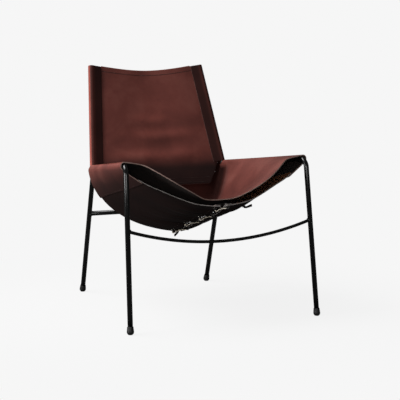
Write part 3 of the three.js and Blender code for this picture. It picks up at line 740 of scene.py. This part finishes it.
column_split = 2
half_columns = (seat_steps + wrap_steps + lap_steps) * column_split
seat_rows = 44
tongue_rows = 12
unevenness_size = 0.09
unevenness_depth = 0.0016
# Painted light on the seat: a highlight along each rail's wrap, shade towards the lap seams.
rail_highlight = 0.8
rail_highlight_place = 0.45
rail_highlight_width = 0.22
lap_shade = 0.88
deep_fold = (0.86, 0.98)
deep_fold_shades = (0.75, 0.97)
shaded_fold_start = 0.92
shaded_fold_reach = 0.75
tongue_start = 0.99


def seat_place(column, row):
    """The seat, a little uneven where it hangs free, and the tongue behind its rear edge."""
    along = (column - half_columns) / column_split
    if row > seat_rows:
        if abs(along) > seat_steps:
            return None
        return tongue_at(along, (row - seat_rows) * 2 / tongue_rows)
    share = row / seat_rows
    point = seat_section(share, along)
    hanging = ease(abs(along), seat_steps, seat_steps - 3)
    free = ease(share, 0, 0.1) * ease(share, 1, 0.85)
    uneven = unevenness_depth * noise.noise(point / unevenness_size)
    point.z += uneven * hanging * free
    return point


def seat_shade(column, row):
    """Painted shade in the deep fold before the back, most of all at its corners, and towards the
    seams at its lower edges, and a painted highlight where it goes over the rails."""
    place = abs(column - half_columns) / column_split
    if place > seat_steps:
        off = ((place - seat_steps) / wrap_steps - rail_highlight_place) / rail_highlight_width
        seam = seat_steps + wrap_steps
        return lap_shade * ease(place, seam - 0.5, seam + 3) - rail_highlight * math.exp(-(off**2))
    along = place / seat_steps
    corner = mix(*deep_fold_shades, ease(along, 0.2, 0.75)) * ease(along, 1, 0.96)
    return ease(row / seat_rows, *deep_fold) * corner


seat_grid = grid_of(2 * half_columns, seat_rows + tongue_rows, seat_place, seat_shade)
seat_marks = seat_grid.loops.layers.uv.active
# Painted shade: the deep fold before the back and the tongue take the duller shaded finish.
for patch in seat_grid.faces:
    marks = [loop[seat_marks].uv for loop in patch.loops]
    across = max(abs(mark.x - 0.5) for mark in marks) * 2 * half_columns / column_split
    along = min(mark.y for mark in marks) * (seat_rows + tongue_rows) / seat_rows
    if along > tongue_start or (along > shaded_fold_start and across < seat_steps + shaded_fold_reach):
        patch.material_index = 3
seat_leather = piece_of(
    seat_grid,
    "seat_leather",
    [seat_grain, shade_dark_flesh, cut_edge, shaded_fold_grain, shade_dark_flesh, inked_edge],
    "brown_leather",
    ["seat_panel"],
)
thicken(seat_leather, leather_thickness, leather_edge)

# Under panels. Two pieces of the same leather are lapped inside the seat's lower edges, meet under
# the seat, and are pulled together by the lace. The pull puckers them between the eyelets.
eyelet_pairs = 4
first_eyelet = 0.035
eyelet_pitch = 0.297
eyelet_slant = 0.03
eyelet_inset = 0.010
strip_start = 0.91
pucker_depth = 0.006
pucker_fade = 0.5
crease_depth = 0.0011
crease_run = 0.8
crease_reach = 0.2
crease_wander = 1.3
anchor_depth = 0.12
anchor_run = 0.75
under_length = 0.30
under_rows = 112
under_columns = 30
strip_columns = 6
punch_radius = 0.0044
punch_length = 0.030
fold_half_width = 0.0038
fold_widths = (1.15, 0.7)
fold_start = 0.95
fold_fade = 0.004
fold_end_loss = 0.75
right_fold_shift = -0.03
fold_shade = 1.06
fold_shade_depth = 0.0015
under_shades = (0.74, 0.95)
tension_folds = ((0.205, 0.19, 0.72, 0.0055), (0.475, 0.49, 0.73, 0.006), (0.7, 0.69, 0.86, 0.004))
under_inwards = leather_thickness + layer_gap


def eyelet_share(side, index):
    return first_eyelet + index * eyelet_pitch + (eyelet_slant if side < 0 else 0)


def pucker(side, share, run):
    """The edge swells outwards between the eyelets, with finer creases where it is pulled."""
    turn = 2 * math.pi * (share - eyelet_share(side, 0)) / eyelet_pitch
    swell = pucker_depth * ease(run, pucker_fade, strip_start) * (1 - math.cos(turn)) / 2
    reach = 1 - abs(run - crease_run) / crease_reach
    wander = crease_wander * noise.noise(Vector((6 * share, 4 * run, side)))
    return swell + crease_depth * max(reach, 0) * math.cos(3 * turn + 2 * wander)


def fold(side, share, run):
    """Sharp tension folds run from the laced edge towards the rail, and die out on the way."""
    deep = 0.0
    shift = 0.0 if side < 0 else right_fold_shift
    for start, end, run_end, depth in tension_folds:
        t = min(max((fold_start - run) / (fold_start - run_end), 0), 1)
        off = (share - shift - mix(start, end, t)) * rail_depth
        beyond = max(run_end - run, 0) * under_length
        width = fold_half_width * mix(*fold_widths, t)
        near = math.exp(-((off / width) ** 2) - (beyond / fold_fade) ** 2)
        deep += depth * (1 - fold_end_loss * t) * near
    return deep


def under_frame(side, share, run, inwards):
    """A place on an under panel, its outward normal and the way towards the laced edge."""
    inward, normal = under_ways(share, run)
    lift = pucker(side, share, run) - fold(side, share, run)
    point = under_at(share, run) + normal * (lift - inwards)
    for vector in (point, normal, inward):
        vector.x *= side
    return point, normal, inward


def eyelet_frame(side, index):
    if index == eyelet_pairs:
        return under_frame(side, anchor_depth, anchor_run, under_inwards)
    length = (under_at(0, 1) - under_at(0, strip_start)).length / (1 - strip_start)
    return under_frame(side, eyelet_share(side, index), 1 - eyelet_inset / length, under_inwards)


def eyelet_count(side):
    return eyelet_pairs + 1 if side > 0 else eyelet_pairs


def under_sheet(side, run_low, columns, inwards):
    """The grid of one side's leather, from a run to the laced edge, facing out."""

    def run_at(column, row):
        step = column if side > 0 else columns - column
        return mix(lap_run(row / under_rows, run_low), 1, step / columns)

    def place_at(column, row):
        return under_frame(side, row / under_rows, run_at(column, row), inwards)[0]

    def shade_at(column, row):
        # Painted shade: darker away from the lap, and darkest in the tension folds.
        run = run_at(column, row)
        painted_shade = mix(*under_shades, ease(run, 0.2, 0.5))
        in_fold = min(fold(side, row / under_rows, run) / fold_shade_depth, 1)
        return mix(painted_shade, fold_shade, in_fold)

    return grid_of(columns, under_rows, place_at, shade_at)


def punch(piece, side, count):
    """Punches the eyelet holes, and keeps the result as the piece's own mesh."""
    bm = bmesh.new()
    for index in range(count):
        point, normal, _ = eyelet_frame(side, index)
        add_cylinder(bm, 24, punch_radius, punch_length, standing(point, normal))
    cutter = put_in_scene("punch", mesh_of(bm, "punch"))
    holes = piece.modifiers.new("holes", "BOOLEAN")
    holes.operation = "DIFFERENCE"
    holes.object = cutter
    holes.solver = "EXACT"
    bpy.context.view_layer.update()
    graph = bpy.context.evaluated_depsgraph_get()
    punched = bpy.data.meshes.new_from_object(piece.evaluated_get(graph))
    piece.modifiers.clear()
    piece.data = punched
    bpy.data.objects.remove(cutter)


under_grain = grain_leather("dark_full_grain_leather", "#4c2b26", "#55312b", "#5f3832", 0.6)
dull_edge = flesh_side("dull_cut_edge", "#6e6763", "#989390")
under_flesh = flesh_side("dark_flesh_side", "#74401f", "#96592f")
under_finishes = [under_grain, under_flesh, dull_edge]

for side, word in sides:
    grid = under_sheet(side, lap_start, under_columns, under_inwards)
    name, replaced = f"{word}_under_leather", [f"{word}_under_panel"]
    panel = piece_of(grid, name, under_finishes, "brown_leather", replaced)
    thicken(panel, leather_thickness, leather_edge)
    punch(panel, side, eyelet_count(side))

# Eyelet strips. A second, thinner layer of leather is sewn inside each laced edge, so that the
# eyelets have two layers to clamp and don't tear out.
strip_thickness = 0.002
strip_edge = 0.0004
strip_inwards = under_inwards + leather_thickness / 2 + layer_gap + strip_thickness / 2

for side, word in sides:
    grid = under_sheet(side, strip_start, strip_columns, strip_inwards)
    name, replaced = f"{word}_doubled_edge", [f"{word}_eyelet_strip"]
    strip = piece_of(grid, name, under_finishes, "dark_leather", replaced)
    thicken(strip, strip_thickness, strip_edge)
    punch(strip, side, eyelet_pairs)

# Eyelets. Each hole holds a pressed ring of nickel-plated brass, its flange rolled over on both
# sides of the leather.
eyelet_bore = 0.0035
eyelet_barrel = 0.0042
eyelet_flange = 0.0065
eyelet_sides = 32
flange_thickness = 0.0008
anchor_flange_gap = 0.0026


def plated_brass():
    """Nickel plate on pressed brass, darker than bright nickel, with fine polishing marks."""
    material, shader = new_finish("nickel_plate", "#8d8880", 0.3, Metallic=1.0)
    marks = cloudy(material, 1 / 900, 4.0)
    feed(shader, Roughness=spread(material, marks, 0.18, 0.34))
    add_bump(material, shader, marks, 0.00002)
    return material


nickel = plated_brass()


def flange_outside(index):
    return leather_thickness / 2 + (anchor_flange_gap if index == eyelet_pairs else layer_gap)


def flange_inside(index):
    extra = 0 if index == eyelet_pairs else layer_gap + strip_thickness
    return flange_outside(index) + extra


def eyelet_ring(side, index, name, replaced):
    """A barrel with a rolled flange at each end, turned about the hole's middle line."""
    point, normal, _ = eyelet_frame(side, index)
    high = flange_outside(index) + flange_thickness
    low = -flange_inside(index) - flange_thickness
    lip = flange_thickness / 2
    profile = [(eyelet_barrel, 0)]
    for level, way in ((low, 1), (high, -1)):
        inner = level + way * flange_thickness
        roll = [(eyelet_barrel, inner), (eyelet_flange - lip, inner)]
        roll += [(eyelet_flange, level + way * lip), (eyelet_flange - lip, level)]
        roll += [(eyelet_bore + 3 * lip, level - way * lip / 2), (eyelet_bore + lip, level)]
        roll += [(eyelet_bore, level + way * 2 * lip)]
        profile += roll if way > 0 else roll[::-1]
    bm = spun(profile + [profile[0]], eyelet_sides)
    stand_up(bm, point, normal)
    solid_piece(bm, name, [nickel], "nickel", [replaced])


for side, word in sides:
    for index in range(eyelet_count(side)):
        eyelet_ring(side, index, f"{word}_ring_{index + 1}", f"{word}_eyelet_{index + 1}")

# Lace. One flat leather thong goes across each pair of eyelets outside, and back to the next pair
# inside. It is pale along its crossings outside, and dark on its outer face and everywhere else. It
# is stiff, hangs in a loose S at each crossing, and its front tail sticks out of the single eyelet.
lace_width = 0.0085
lace_eyelet_width = 0.0062
lace_thickness = 0.0034
lace_size = 0.004
lace_slack = 0.006
lace_hang = math.radians(38)
tail_length = 0.027
tail_rise = 0.003
tail_hang = 1.7
thread_reach = 0.006
anchor_slack_place = 0.38
flat_enough = 0.3
flat_pull = 0.25
pale_enough = 0.6
clear_of_leather = 0.0005
loop_stands_off = 0.0015
bend_stands_off = 0.005
bend_reach = 0.0025
crossing = ((0.25, 0.0075), (0.5, 0.0050), (0.78, 0.0046))
end_share = 0.985
end_drop = 0.010
end_slide = 0.012


def thread_through(side, index, coming, going, loop=False):
    """The lace's points through an eyelet, from the inside to the outside, each with its width, its
    hang, and 1 where it is pale. A loop stands off the leather before it turns in."""
    point, normal, _ = eyelet_frame(side, index)
    radius = lace_size / 2
    outside = flange_outside(index) + flange_thickness + radius + clear_of_leather
    inside = flange_inside(index) + flange_thickness + radius + clear_of_leather
    way = -1 if loop else 1
    stands_off = loop_stands_off if loop else bend_stands_off

    def at(height, towards, reach):
        level = (towards - normal * towards.dot(normal)).normalized()
        return point + normal * height + level * reach

    middle = mix(lace_eyelet_width, lace_width, 0.4)
    return [
        (at(-inside, coming, thread_reach), lace_width, 0, 0),
        (at(-inside + radius / 2, coming, radius / 4), middle, 0, 0),
        (at(0, coming, 0), lace_eyelet_width, 0, 0),
        (at(outside, going, way * radius), middle, 0.5, 0),
        (at(outside + stands_off, going, way * bend_reach), lace_width, 1, 0 if loop else 1),
    ]


def lace_points():
    """The lace's points from its front tail to its rear end, and the way that it faces there."""
    anchor, anchor_normal, anchor_in = eyelet_frame(1, eyelet_pairs)
    first, first_normal, _ = eyelet_frame(-1, 0)
    towards_first = (first - anchor).normalized()
    threaded = thread_through(1, eyelet_pairs, towards_first, -anchor_in)[-2::-1]
    tail = threaded[0][0] - anchor_in * tail_length + anchor_normal * tail_rise
    over = first.lerp(anchor, anchor_slack_place)
    over -= first_normal * (flange_inside(0) + lace_slack)
    points = [(tail, lace_width, tail_hang, 0), *threaded, (over, lace_width, 0, 0)]
    for index in range(eyelet_pairs):
        left, left_normal, left_in = eyelet_frame(-1, index)
        right, right_normal, _ = eyelet_frame(1, index)
        cross = (right - left).normalized()
        coming = cross if index == 0 else (eyelet_frame(1, index - 1)[0] - left).normalized()
        going = -left_in
        if index < eyelet_pairs - 1:
            going = (eyelet_frame(-1, index + 1)[0] - right).normalized()
        points += thread_through(-1, index, coming, cross)
        for place, stands_off in crossing:
            normal = left_normal.lerp(right_normal, place).normalized()
            points.append((left.lerp(right, place) + normal * stands_off, lace_width, 1, 1))
        points += thread_through(1, index, going, -cross, loop=True)[::-1]
    end, end_normal, _ = under_frame(1, end_share, 1, under_inwards)
    out = Vector((0, end_normal.y, end_normal.z)).normalized()
    reach = flange_outside(0) + lace_size
    drops = ((-reach, -lace_size), (0, 0), (reach, lace_size))
    for drop, leftwards in (*drops, (reach + end_drop, lace_size + end_slide)):
        points.append((Vector((-leftwards, end.y, end.z)) + out * drop, lace_width, 1, 0))
    return points, out


def smooth_line(points, steps):
    """A smooth line through points, with knots spaced by the root of their distances."""
    ends = [2 * points[0] - points[1], *points, 2 * points[-1] - points[-2]]
    line = []
    for p0, p1, p2, p3 in zip(ends, ends[1:], ends[2:], ends[3:]):
        t1 = (p1 - p0).length ** 0.5
        t2 = t1 + (p2 - p1).length ** 0.5
        t3 = t2 + (p3 - p2).length ** 0.5
        for step in range(steps):
            t = mix(t1, t2, step / steps)
            a1, a2 = p0.lerp(p1, t / t1), p1.lerp(p2, (t - t1) / (t2 - t1))
            a3 = p2.lerp(p3, (t - t2) / (t3 - t2))
            b1, b2 = a1.lerp(a2, t / t2), a2.lerp(a3, (t - t1) / (t3 - t1))
            line.append(b1.lerp(b2, (t - t1) / (t2 - t1)))
    return [*line, points[-1]]


def lace_finish(name, dark, light, roughness):
    """Vegetable-tanned thong: smooth, a little soiled, with fibres along it of 0.7 mm."""
    material, shader = new_finish(name, light, roughness)
    soil = cloudy(material, 0.008, 3.0)
    feed(shader, Base_Color=toned(material, soil, (0.35, dark), (0.6, light)))
    add_bump(material, shader, cloudy(material, 0.0007, 4.0, Roughness=0.6), 0.00015, 0.6)
    return material


pale_thong = lace_finish("pale_thong", "#c9bba3", "#efe6d6", 0.6)
dark_thong = lace_finish("dark_thong", "#0e0a0a", "#1a1312", 0.45)


def squared(value):
    """Swells a circle's sine or cosine towards a square's."""
    return math.copysign(abs(value) ** 0.5, value)


def flat_lace(steps=6, around=12):
    """A rounded rectangle drawn along the lace's line, and leaning by its hang."""
    knots, out = lace_points()
    places, widths, hangs, paleness = zip(*knots)
    line = smooth_line(places, steps)
    spots = [index / steps for index in range(len(line))]
    widths = np.interp(spots, range(len(knots)), widths)
    hangs = np.interp(spots, range(len(knots)), hangs) * lace_hang
    paleness = np.interp(spots, range(len(knots)), paleness)
    sections = []
    face = out
    for index, point in enumerate(line):
        ahead, behind = line[min(index + 1, len(line) - 1)], line[max(index - 1, 0)]
        tangent = (ahead - behind).normalized()
        face = (face - tangent * face.dot(tangent)).normalized()
        flat = out - tangent * out.dot(tangent)
        if flat.length > flat_enough:
            flat *= math.copysign(flat_pull * flat.length, flat.dot(face))
            face = (face + flat).normalized()
        across = tangent.cross(face)
        hang = math.copysign(hangs[index], across.y)
        up = face * math.cos(hang) - across * math.sin(hang)
        sections.append((point, up, across * math.cos(hang) + face * math.sin(hang), widths[index]))

    def place_at(column, row):
        point, up, across, width = sections[row]
        angle = 2 * math.pi * column / around
        wide = squared(math.cos(angle)) * width / 2
        thick = squared(math.sin(angle)) * lace_thickness / 2
        return point + across * wide + up * thick

    bm = grid_of(around, len(sections) - 1, place_at)
    marks = bm.loops.layers.uv.active
    for strip in bm.faces:
        u = sum(loop[marks].uv.x for loop in strip.loops) / len(strip.loops)
        v = sum(loop[marks].uv.y for loop in strip.loops) / len(strip.loops)
        # Faces with little paleness, away from the crossings, take the dark finish.
        darkened = paleness[round(v * (len(sections) - 1))] < pale_enough
        strip.material_index = 1 if 2 < u * around < 4 or darkened else 0
    bmesh.ops.remove_doubles(bm, verts=bm.verts, dist=weld_tolerance)
    rims = [edge for edge in bm.edges if edge.is_boundary]
    bmesh.ops.holes_fill(bm, edges=rims, sides=0)
    return bm


solid_piece(flat_lace(), "leather_lace", [pale_thong, dark_thong], "lace_leather", ["lace"])

# Back panel. One piece of the same leather fills the back between the two sleeves, is drawn in at
# the bottom and lapped in front of the seat's tongue, and has its top edge turned over and sewn.
panel_top_height = 0.783
panel_top_dip = 0.017
panel_sag = 0.009
panel_inset = 0.016
sleeve_reach = 0.034
sleeve_overshoot = 0.008
tongue_half_width = 0.183
hem_depth = 0.018
hem_fold_radius = 0.0019
hem_rows = 6
hem_groove = 0.0150
hem_groove_width = 0.0012
hem_groove_shade = 0.75
foot_shade = 0.97
foot_shade_heights = (0.48, 0.43)
waver_depth = 0.006
waver_width = 0.09
waver_height = 0.2
waver_place = 0.7
panel_columns = 56
panel_rows = 84
panel_row_shares = ((0, 0), (0.78, 0.945), (0.96, 0.98), (1, 1))
# Creases and bands are spots: height, half height, place across, half width, strength. A band's
# strength paints light: above 0 a highlight, below 0 a shade line.
sitting_creases = ((0.603, 0.017, -0.01, 0.06, 0.0030), (0.545, 0.018, 0.02, 0.09, 0.0045))
sitting_creases += ((0.474, 0.022, -0.05, 0.11, 0.0050), (0.478, 0.020, 0.09, 0.05, 0.0045))
painted_light_bands = ((0.619, 0.015, -0.005, 0.07, 0.22), (0.561, 0.014, 0.02, 0.11, 0.3))
painted_light_bands += ((0.489, 0.015, -0.01, 0.15, 0.32), (0.590, 0.008, 0.01, 0.08, -0.06))
painted_light_bands += ((0.532, 0.010, 0.02, 0.11, -0.07), (0.650, 0.080, 0.00, 0.10, 0.16))


def spots_at(spots, x, height):
    """What a table of soft round spots adds up to at a place."""
    total = 0.0
    for level, half_height, place, half_width, strength in spots:
        reach = ((x - place) / half_width) ** 2 + ((height - level) / half_height) ** 2
        total += strength * math.exp(-reach)
    return total


def panel_half_width(height):
    def beside(level):
        rise = (level - joint_height) / (upright_top_height - joint_height)
        return rear_joint(1).lerp(upright_top(1), rise).x - panel_inset

    if height >= sleeve_bottom:
        return beside(height)
    below = (height - lap_height) / (sleeve_bottom - lap_height)
    return mix(tongue_half_width, beside(sleeve_bottom), below)


def panel_at(height, across):
    """A place on the back panel: across -1 at its left edge, 1 at its right edge."""
    side_share = abs(across)
    rise = (height - lap_height - lap_depth) / (panel_top_height - lap_height - lap_depth)
    flat = (sleeve_reach + 2 * layer_gap) / upright_top_x
    sag = panel_sag * ease(1 - side_share, flat, 1) * ease(rise, 0, 0.5)
    settle = panel_top_dip * (1 - side_share**2) * ease(rise, 0, 1)
    x = across * panel_half_width(height)
    waver = noise.noise(Vector((x / waver_width, waver_place, height / waver_height)))
    crease = spots_at(sitting_creases, x, height + waver_depth * waver)
    crease *= ease(1 - side_share, flat, flat + 0.2)
    return on_back(x, height - settle, -sag + crease)


def panel_height(row):
    """The rows lie close together where the hem's seam presses its groove."""
    share = share_at(panel_row_shares, min(row / panel_rows, 1))
    return mix(lap_height, panel_top_height, share)


def panel_place(column, row):
    """The panel, and above its top row the hem, folded over to the rear between the sleeves."""
    across = 2 * column / panel_columns - 1
    if row <= panel_rows:
        return panel_at(panel_height(row), across)
    in_flange = sleeve_reach - panel_inset + 2 * layer_gap
    if abs(across) > 1 - in_flange / panel_half_width(panel_top_height):
        return None
    if row < panel_rows + hem_rows:
        angle = math.pi * (row - panel_rows) / (hem_rows - 1)
        up, front = hem_fold_radius * math.sin(angle), hem_fold_radius * (math.cos(angle) - 1)
    else:
        up, front = -hem_depth, -2 * hem_fold_radius
    return panel_at(panel_top_height, across) + back_up * up + back_front * front


def panel_shade(column, row):
    """Painted shade at the panel's foot, down in the fold before the seat, and in the hem's groove.
    Painted highlight bands lie on the bulges between its creases and over its upper middle, with
    thin painted shade lines between them."""
    height = panel_height(row)
    x = (2 * column / panel_columns - 1) * panel_half_width(height)
    shade = foot_shade * ease(height, *foot_shade_heights)
    if row <= panel_rows:
        from_groove = (panel_top_height - hem_groove - height) / hem_groove_width
        shade += hem_groove_shade * math.exp(-(from_groove**2))
    return shade - spots_at(painted_light_bands, x, height)


back_leather = piece_of(
    grid_of(panel_columns, panel_rows + hem_rows, panel_place, panel_shade),
    "back_leather",
    [seat_grain, shade_dark_flesh, cut_edge],
    "brown_leather",
    ["back_panel"],
)
thicken(back_leather, leather_thickness, leather_edge)

# Back sleeves. A strip of leather is folded round each upright, and its two flanges are sewn to the
# panel's edge, one in front and one behind. The flanges are pressed flat and darker than the fold,
# which is darker than the panel. The left sleeve's outer round carries a painted highlight.
sleeve_turn = 110
sleeve_steps = 10
sleeve_columns = 42
sleeve_rows = 40
sleeve_shade = 0.58
flange_shade = 0.84
painted_fold_highlight = -1.9
flange_line = (0.72, 0.8)
fold_line = (0.38, 0.18)


@functools.cache
def sleeve_section(share):
    """The fold's middle layer, as (outwards, forwards): flange, turn round the tube, flange."""
    step_angle = math.radians(2 * sleeve_turn / sleeve_steps)
    radius = leather_round_tube(step_angle)
    lift = leather_thickness + layer_gap
    line = [(-sleeve_reach, lift), (-panel_inset, mix(lift, radius, 0.5))]
    for step in range(sleeve_steps + 1):
        angle = math.radians(sleeve_turn) - step * step_angle
        line.append((radius * math.cos(angle), radius * math.sin(angle)))
    line += [(-panel_inset, -mix(lift, radius, 0.5)), (-sleeve_reach, -lift)]
    return spline_at([Vector(point) for point in line], share)


def on_upright(side, rise):
    """A place on an upright's middle line, from the sleeve's bottom to its top."""
    line = upright_top(side) - rear_joint(side)
    length = line.length + sleeve_overshoot
    return rear_joint(side) + line.normalized() * mix(sleeve_start, length, rise)


def sleeve_place(side, share, rise):
    outwards = back_front.cross(upright_top(side) - rear_joint(side)).normalized()
    if outwards.x * side < 0:
        outwards = -outwards
    out, front = sleeve_section(share)
    return on_upright(side, rise) + outwards * out + back_front * front


def sleeve_grid(side):
    """One sleeve's grid, with its shade, facing out."""

    def place_at(column, row):
        share = column / sleeve_columns
        return sleeve_place(side, share if side > 0 else 1 - share, row / sleeve_rows)

    def shade_at(column, row):
        from_fold = abs(2 * column / sleeve_columns - 1)
        if from_fold > 0.5:
            return mix(sleeve_shade, flange_shade, ease(from_fold, *flange_line))
        # On the left sleeve the middle of the fold, its outer round, gets a painted highlight.
        at_fold = painted_fold_highlight if side < 0 else sleeve_shade
        return mix(sleeve_shade, at_fold, ease(from_fold, *fold_line))

    return grid_of(sleeve_columns, sleeve_rows, place_at, shade_at)


sleeve_grain = grain_leather("pressed_dark_leather", "#562c26", "#5f312b", "#693831", 0.4, 0.15)
sleeve_finishes = [sleeve_grain, shade_dark_flesh, inked_edge]

for side, word in sides:
    name, replaced = f"{word}_sleeve_leather", [f"{word}_back_sleeve"]
    sleeve = piece_of(sleeve_grid(side), name, sleeve_finishes, "dark_leather", replaced)
    thicken(sleeve, leather_thickness, leather_edge)

# Stitching. Every seam is a row of waxed brown thread, sewn at 5 mm through both layers, and each
# stitch pulls a little way into the leather.
stitch_pitch = 0.0052
stitch_length = 0.0040
stitch_radius = 0.00055
lap_seam_inset = 0.014
strip_seam_inset = 0.012
flange_seam_inset = 0.005
hem_seam_inset = 0.0145
tongue_seam_heights = (0.006, 0.021)
edge_seam_ends = (0.012, 0.988)
sleeve_seam_ends = (0.015, 0.985)
hem_seam_reach = 0.88
tongue_seam_reach = 0.96
stitch_samples = 200
stitch_nudge = 0.002
stitch_sides = 8
stitch_rings = 6
stitch_lift = 0.0001
surface = leather_thickness / 2


def waxed_thread():
    """Waxed polyester thread of 1.1 mm: dark brown, with its twist at 1.2 mm."""
    material, shader = new_finish("waxed_thread", "#2e1b17", 0.5)
    place = add_node(material, "ShaderNodeTexCoord").outputs["Object"]
    settings = {"Scale": 1 / 0.0012, "Distortion": 2.0, "Detail": 2.0}
    twist = add_node(material, "ShaderNodeTexWave", settings, {"Vector": place})
    add_bump(material, shader, twist.outputs["Fac"], 0.0001)
    return material


thread = waxed_thread()


def stitch_row(name, line_at, ends, slot="dark_leather"):
    """A row of stitches between the ends of a line that a function gives as (place, normal)."""

    def place_at(share):
        return line_at(mix(*ends, share))

    shares = np.linspace(0, 1, stitch_samples + 1)
    places = [place_at(i / stitch_samples)[0] for i in range(stitch_samples + 1)]
    steps = [(b - a).length for a, b in zip(places, places[1:])]
    travelled = np.concatenate([[0], np.cumsum(steps)])
    size = Matrix.Diagonal((stitch_length / 2, stitch_radius, stitch_radius, 1))
    ball = {"u_segments": stitch_sides, "v_segments": stitch_rings, "radius": 1}
    bm = bmesh.new()
    for index in range(int(travelled[-1] / stitch_pitch)):
        middle = (index + 0.5) * stitch_pitch
        share = float(np.interp(middle, travelled, shares))
        place, normal = place_at(share)
        ahead, behind = min(share + stitch_nudge, 1), max(share - stitch_nudge, 0)
        along = (place_at(ahead)[0] - place_at(behind)[0]).normalized()
        across = normal.cross(along).normalized()
        basis = Matrix((along, across, normal)).transposed().to_4x4()
        stand = Matrix.Translation(place) @ basis @ size
        bmesh.ops.create_uvsphere(bm, matrix=stand, **ball)
    return piece_of(bm, name, [thread], slot)


def lap_seam_at(side, share):
    run = lap_run(share, lap_end) - lap_seam_inset
    normal = under_ways(share, run)[1]
    point = under_at(share, run) + normal * surface
    return Vector((side * point.x, point.y, point.z)), Vector((side * normal.x, normal.y, normal.z))


def strip_seam_at(side, share):
    point, normal, _ = under_frame(side, share, strip_start + strip_seam_inset, under_inwards)
    return point + normal * surface, normal


def flange_seam_at(side, front, rise):
    inset = Vector((-side, 0, 0)) * (sleeve_reach - flange_seam_inset)
    lift = leather_thickness + layer_gap + surface + stitch_lift
    return on_upright(side, rise) + inset + back_front * front * lift, back_front * front


def panel_seam_at(height, behind, front, across):
    depth = surface if front > 0 else -(surface + behind)
    return panel_at(height, across) + back_front * depth, back_front * front


for side, word in sides:
    for edge, seam_at in (("lap", lap_seam_at), ("edge", strip_seam_at)):
        stitch_row(f"{word}_{edge}_stitches", functools.partial(seam_at, side), edge_seam_ends)
    for face, front in (("front", 1), ("back", -1)):
        seam_at = functools.partial(flange_seam_at, side, front)
        stitch_row(f"{word}_sleeve_{face}_stitches", seam_at, sleeve_seam_ends)

low_seam, high_seam = (lap_height + height for height in tongue_seam_heights)
tongue_depth = leather_thickness + layer_gap
for seam, height, behind, reach in (
    ("hem", panel_top_height - hem_seam_inset, 2 * hem_fold_radius, hem_seam_reach),
    ("tongue_lower", low_seam, tongue_depth, tongue_seam_reach),
    ("tongue_upper", high_seam, tongue_depth, tongue_seam_reach),
):
    for face, front in (("front", 1), ("back", -1)):
        seam_at = functools.partial(panel_seam_at, height, behind, front)
        stitch_row(f"{seam}_{face}_stitches", seam_at, (-reach, reach), "brown_leather")

# Studio. A plain pale floor and a plain pale surround, a large soft lamp from the upper left, and
# two weaker ones from the front and the side. The floor is pale to the eye, and duller as a
# reflector of light, so that the underside stays as dark as in the photograph.
pale = "#f6f6f6"
dull_floor = "#3a3a3a"
mirrored_share = 0.08
shadow_share = 0.07
shadow_reach = (0.3, 1.1)
surround_light = 0.07
floor_size = 30


def looked_at(material):
    """1 for what the camera sees, a small share for what it sees mirrored, and 0 for light."""
    rays = add_node(material, "ShaderNodeLightPath").outputs
    settings = {"operation": "ADD", "use_clamp": True}
    by_eye = {0: rays["Is Camera Ray"], 1: rays["Is Transmission Ray"]}
    clear = add_node(material, "ShaderNodeMath", settings, by_eye).outputs["Value"]
    return weighted(material, rays["Is Glossy Ray"], mirrored_share, clear, use_clamp=True)


def mixed(material, share, first, second):
    links = {0: share, 1: first.outputs[0], 2: second.outputs[0]}
    return add_node(material, "ShaderNodeMixShader", links=links)


def studio_floor():
    bm = bmesh.new()
    bmesh.ops.create_grid(bm, x_segments=1, y_segments=1, size=floor_size)
    mesh = mesh_of(bm, "studio_floor")
    put_in_scene("studio_floor", mesh)
    material = bpy.data.materials.new("pale_floor")
    material.use_nodes = True
    material.node_tree.nodes.clear()
    glow = add_node(material, "ShaderNodeEmission", {"Color": linear(pale), "Strength": 1.0})
    shadowed = add_node(material, "ShaderNodeBsdfDiffuse", {"Color": linear("#ffffff")})
    dull = add_node(material, "ShaderNodeBsdfDiffuse", {"Color": linear(dull_floor)})
    place = add_node(material, "ShaderNodeTexCoord").outputs["Object"]
    away = add_node(material, "ShaderNodeVectorMath", {"operation": "LENGTH"}, {0: place})
    settings = {"interpolation_type": "SMOOTHSTEP", "To Min": shadow_share, "To Max": 0.0}
    settings |= {"From Min": shadow_reach[0], "From Max": shadow_reach[1]}
    share = add_node(material, "ShaderNodeMapRange", settings, {"Value": away.outputs["Value"]})
    seen = mixed(material, share.outputs["Result"], glow, shadowed)
    shown = mixed(material, looked_at(material), dull, seen)
    add_node(material, "ShaderNodeOutputMaterial", links={"Surface": shown.outputs["Shader"]})
    mesh.materials.append(material)


def studio_world():
    world = bpy.data.worlds.new("studio")
    bpy.context.scene.world = world
    world.use_nodes = True
    world.node_tree.nodes.clear()
    seen = add_node(world, "ShaderNodeBackground", {"Color": linear(pale), "Strength": 1.0})
    settings = {"Color": linear("#ffffff"), "Strength": surround_light}
    shown = mixed(world, looked_at(world), add_node(world, "ShaderNodeBackground", settings), seen)
    add_node(world, "ShaderNodeOutputWorld", links={"Surface": shown.outputs["Shader"]})


studio_floor()
studio_world()


def soft_lamp(name, place, target, size, watts):
    lamp = bpy.data.lights.new(name, "AREA")
    lamp.shape = "RECTANGLE"
    lamp.size, lamp.size_y = size
    lamp.energy = watts
    holder = put_in_scene(name, lamp)
    holder.location = place
    way = Vector(target) - Vector(place)
    holder.rotation_euler = way.to_track_quat("-Z", "Y").to_euler()


chair_middle = (0, 0, 0.42)
soft_lamp("key_lamp", (-1.6, 0.6, 2.8), chair_middle, (1.6, 1.6), 98)
soft_lamp("front_lamp", (-1.2, -3.2, 1.0), chair_middle, (1.6, 1.0), 27)
soft_lamp("side_lamp", (-3.0, -0.3, 0.7), chair_middle, (1.0, 1.0), 48)

bpy.context.scene.view_settings.view_transform = "Standard"
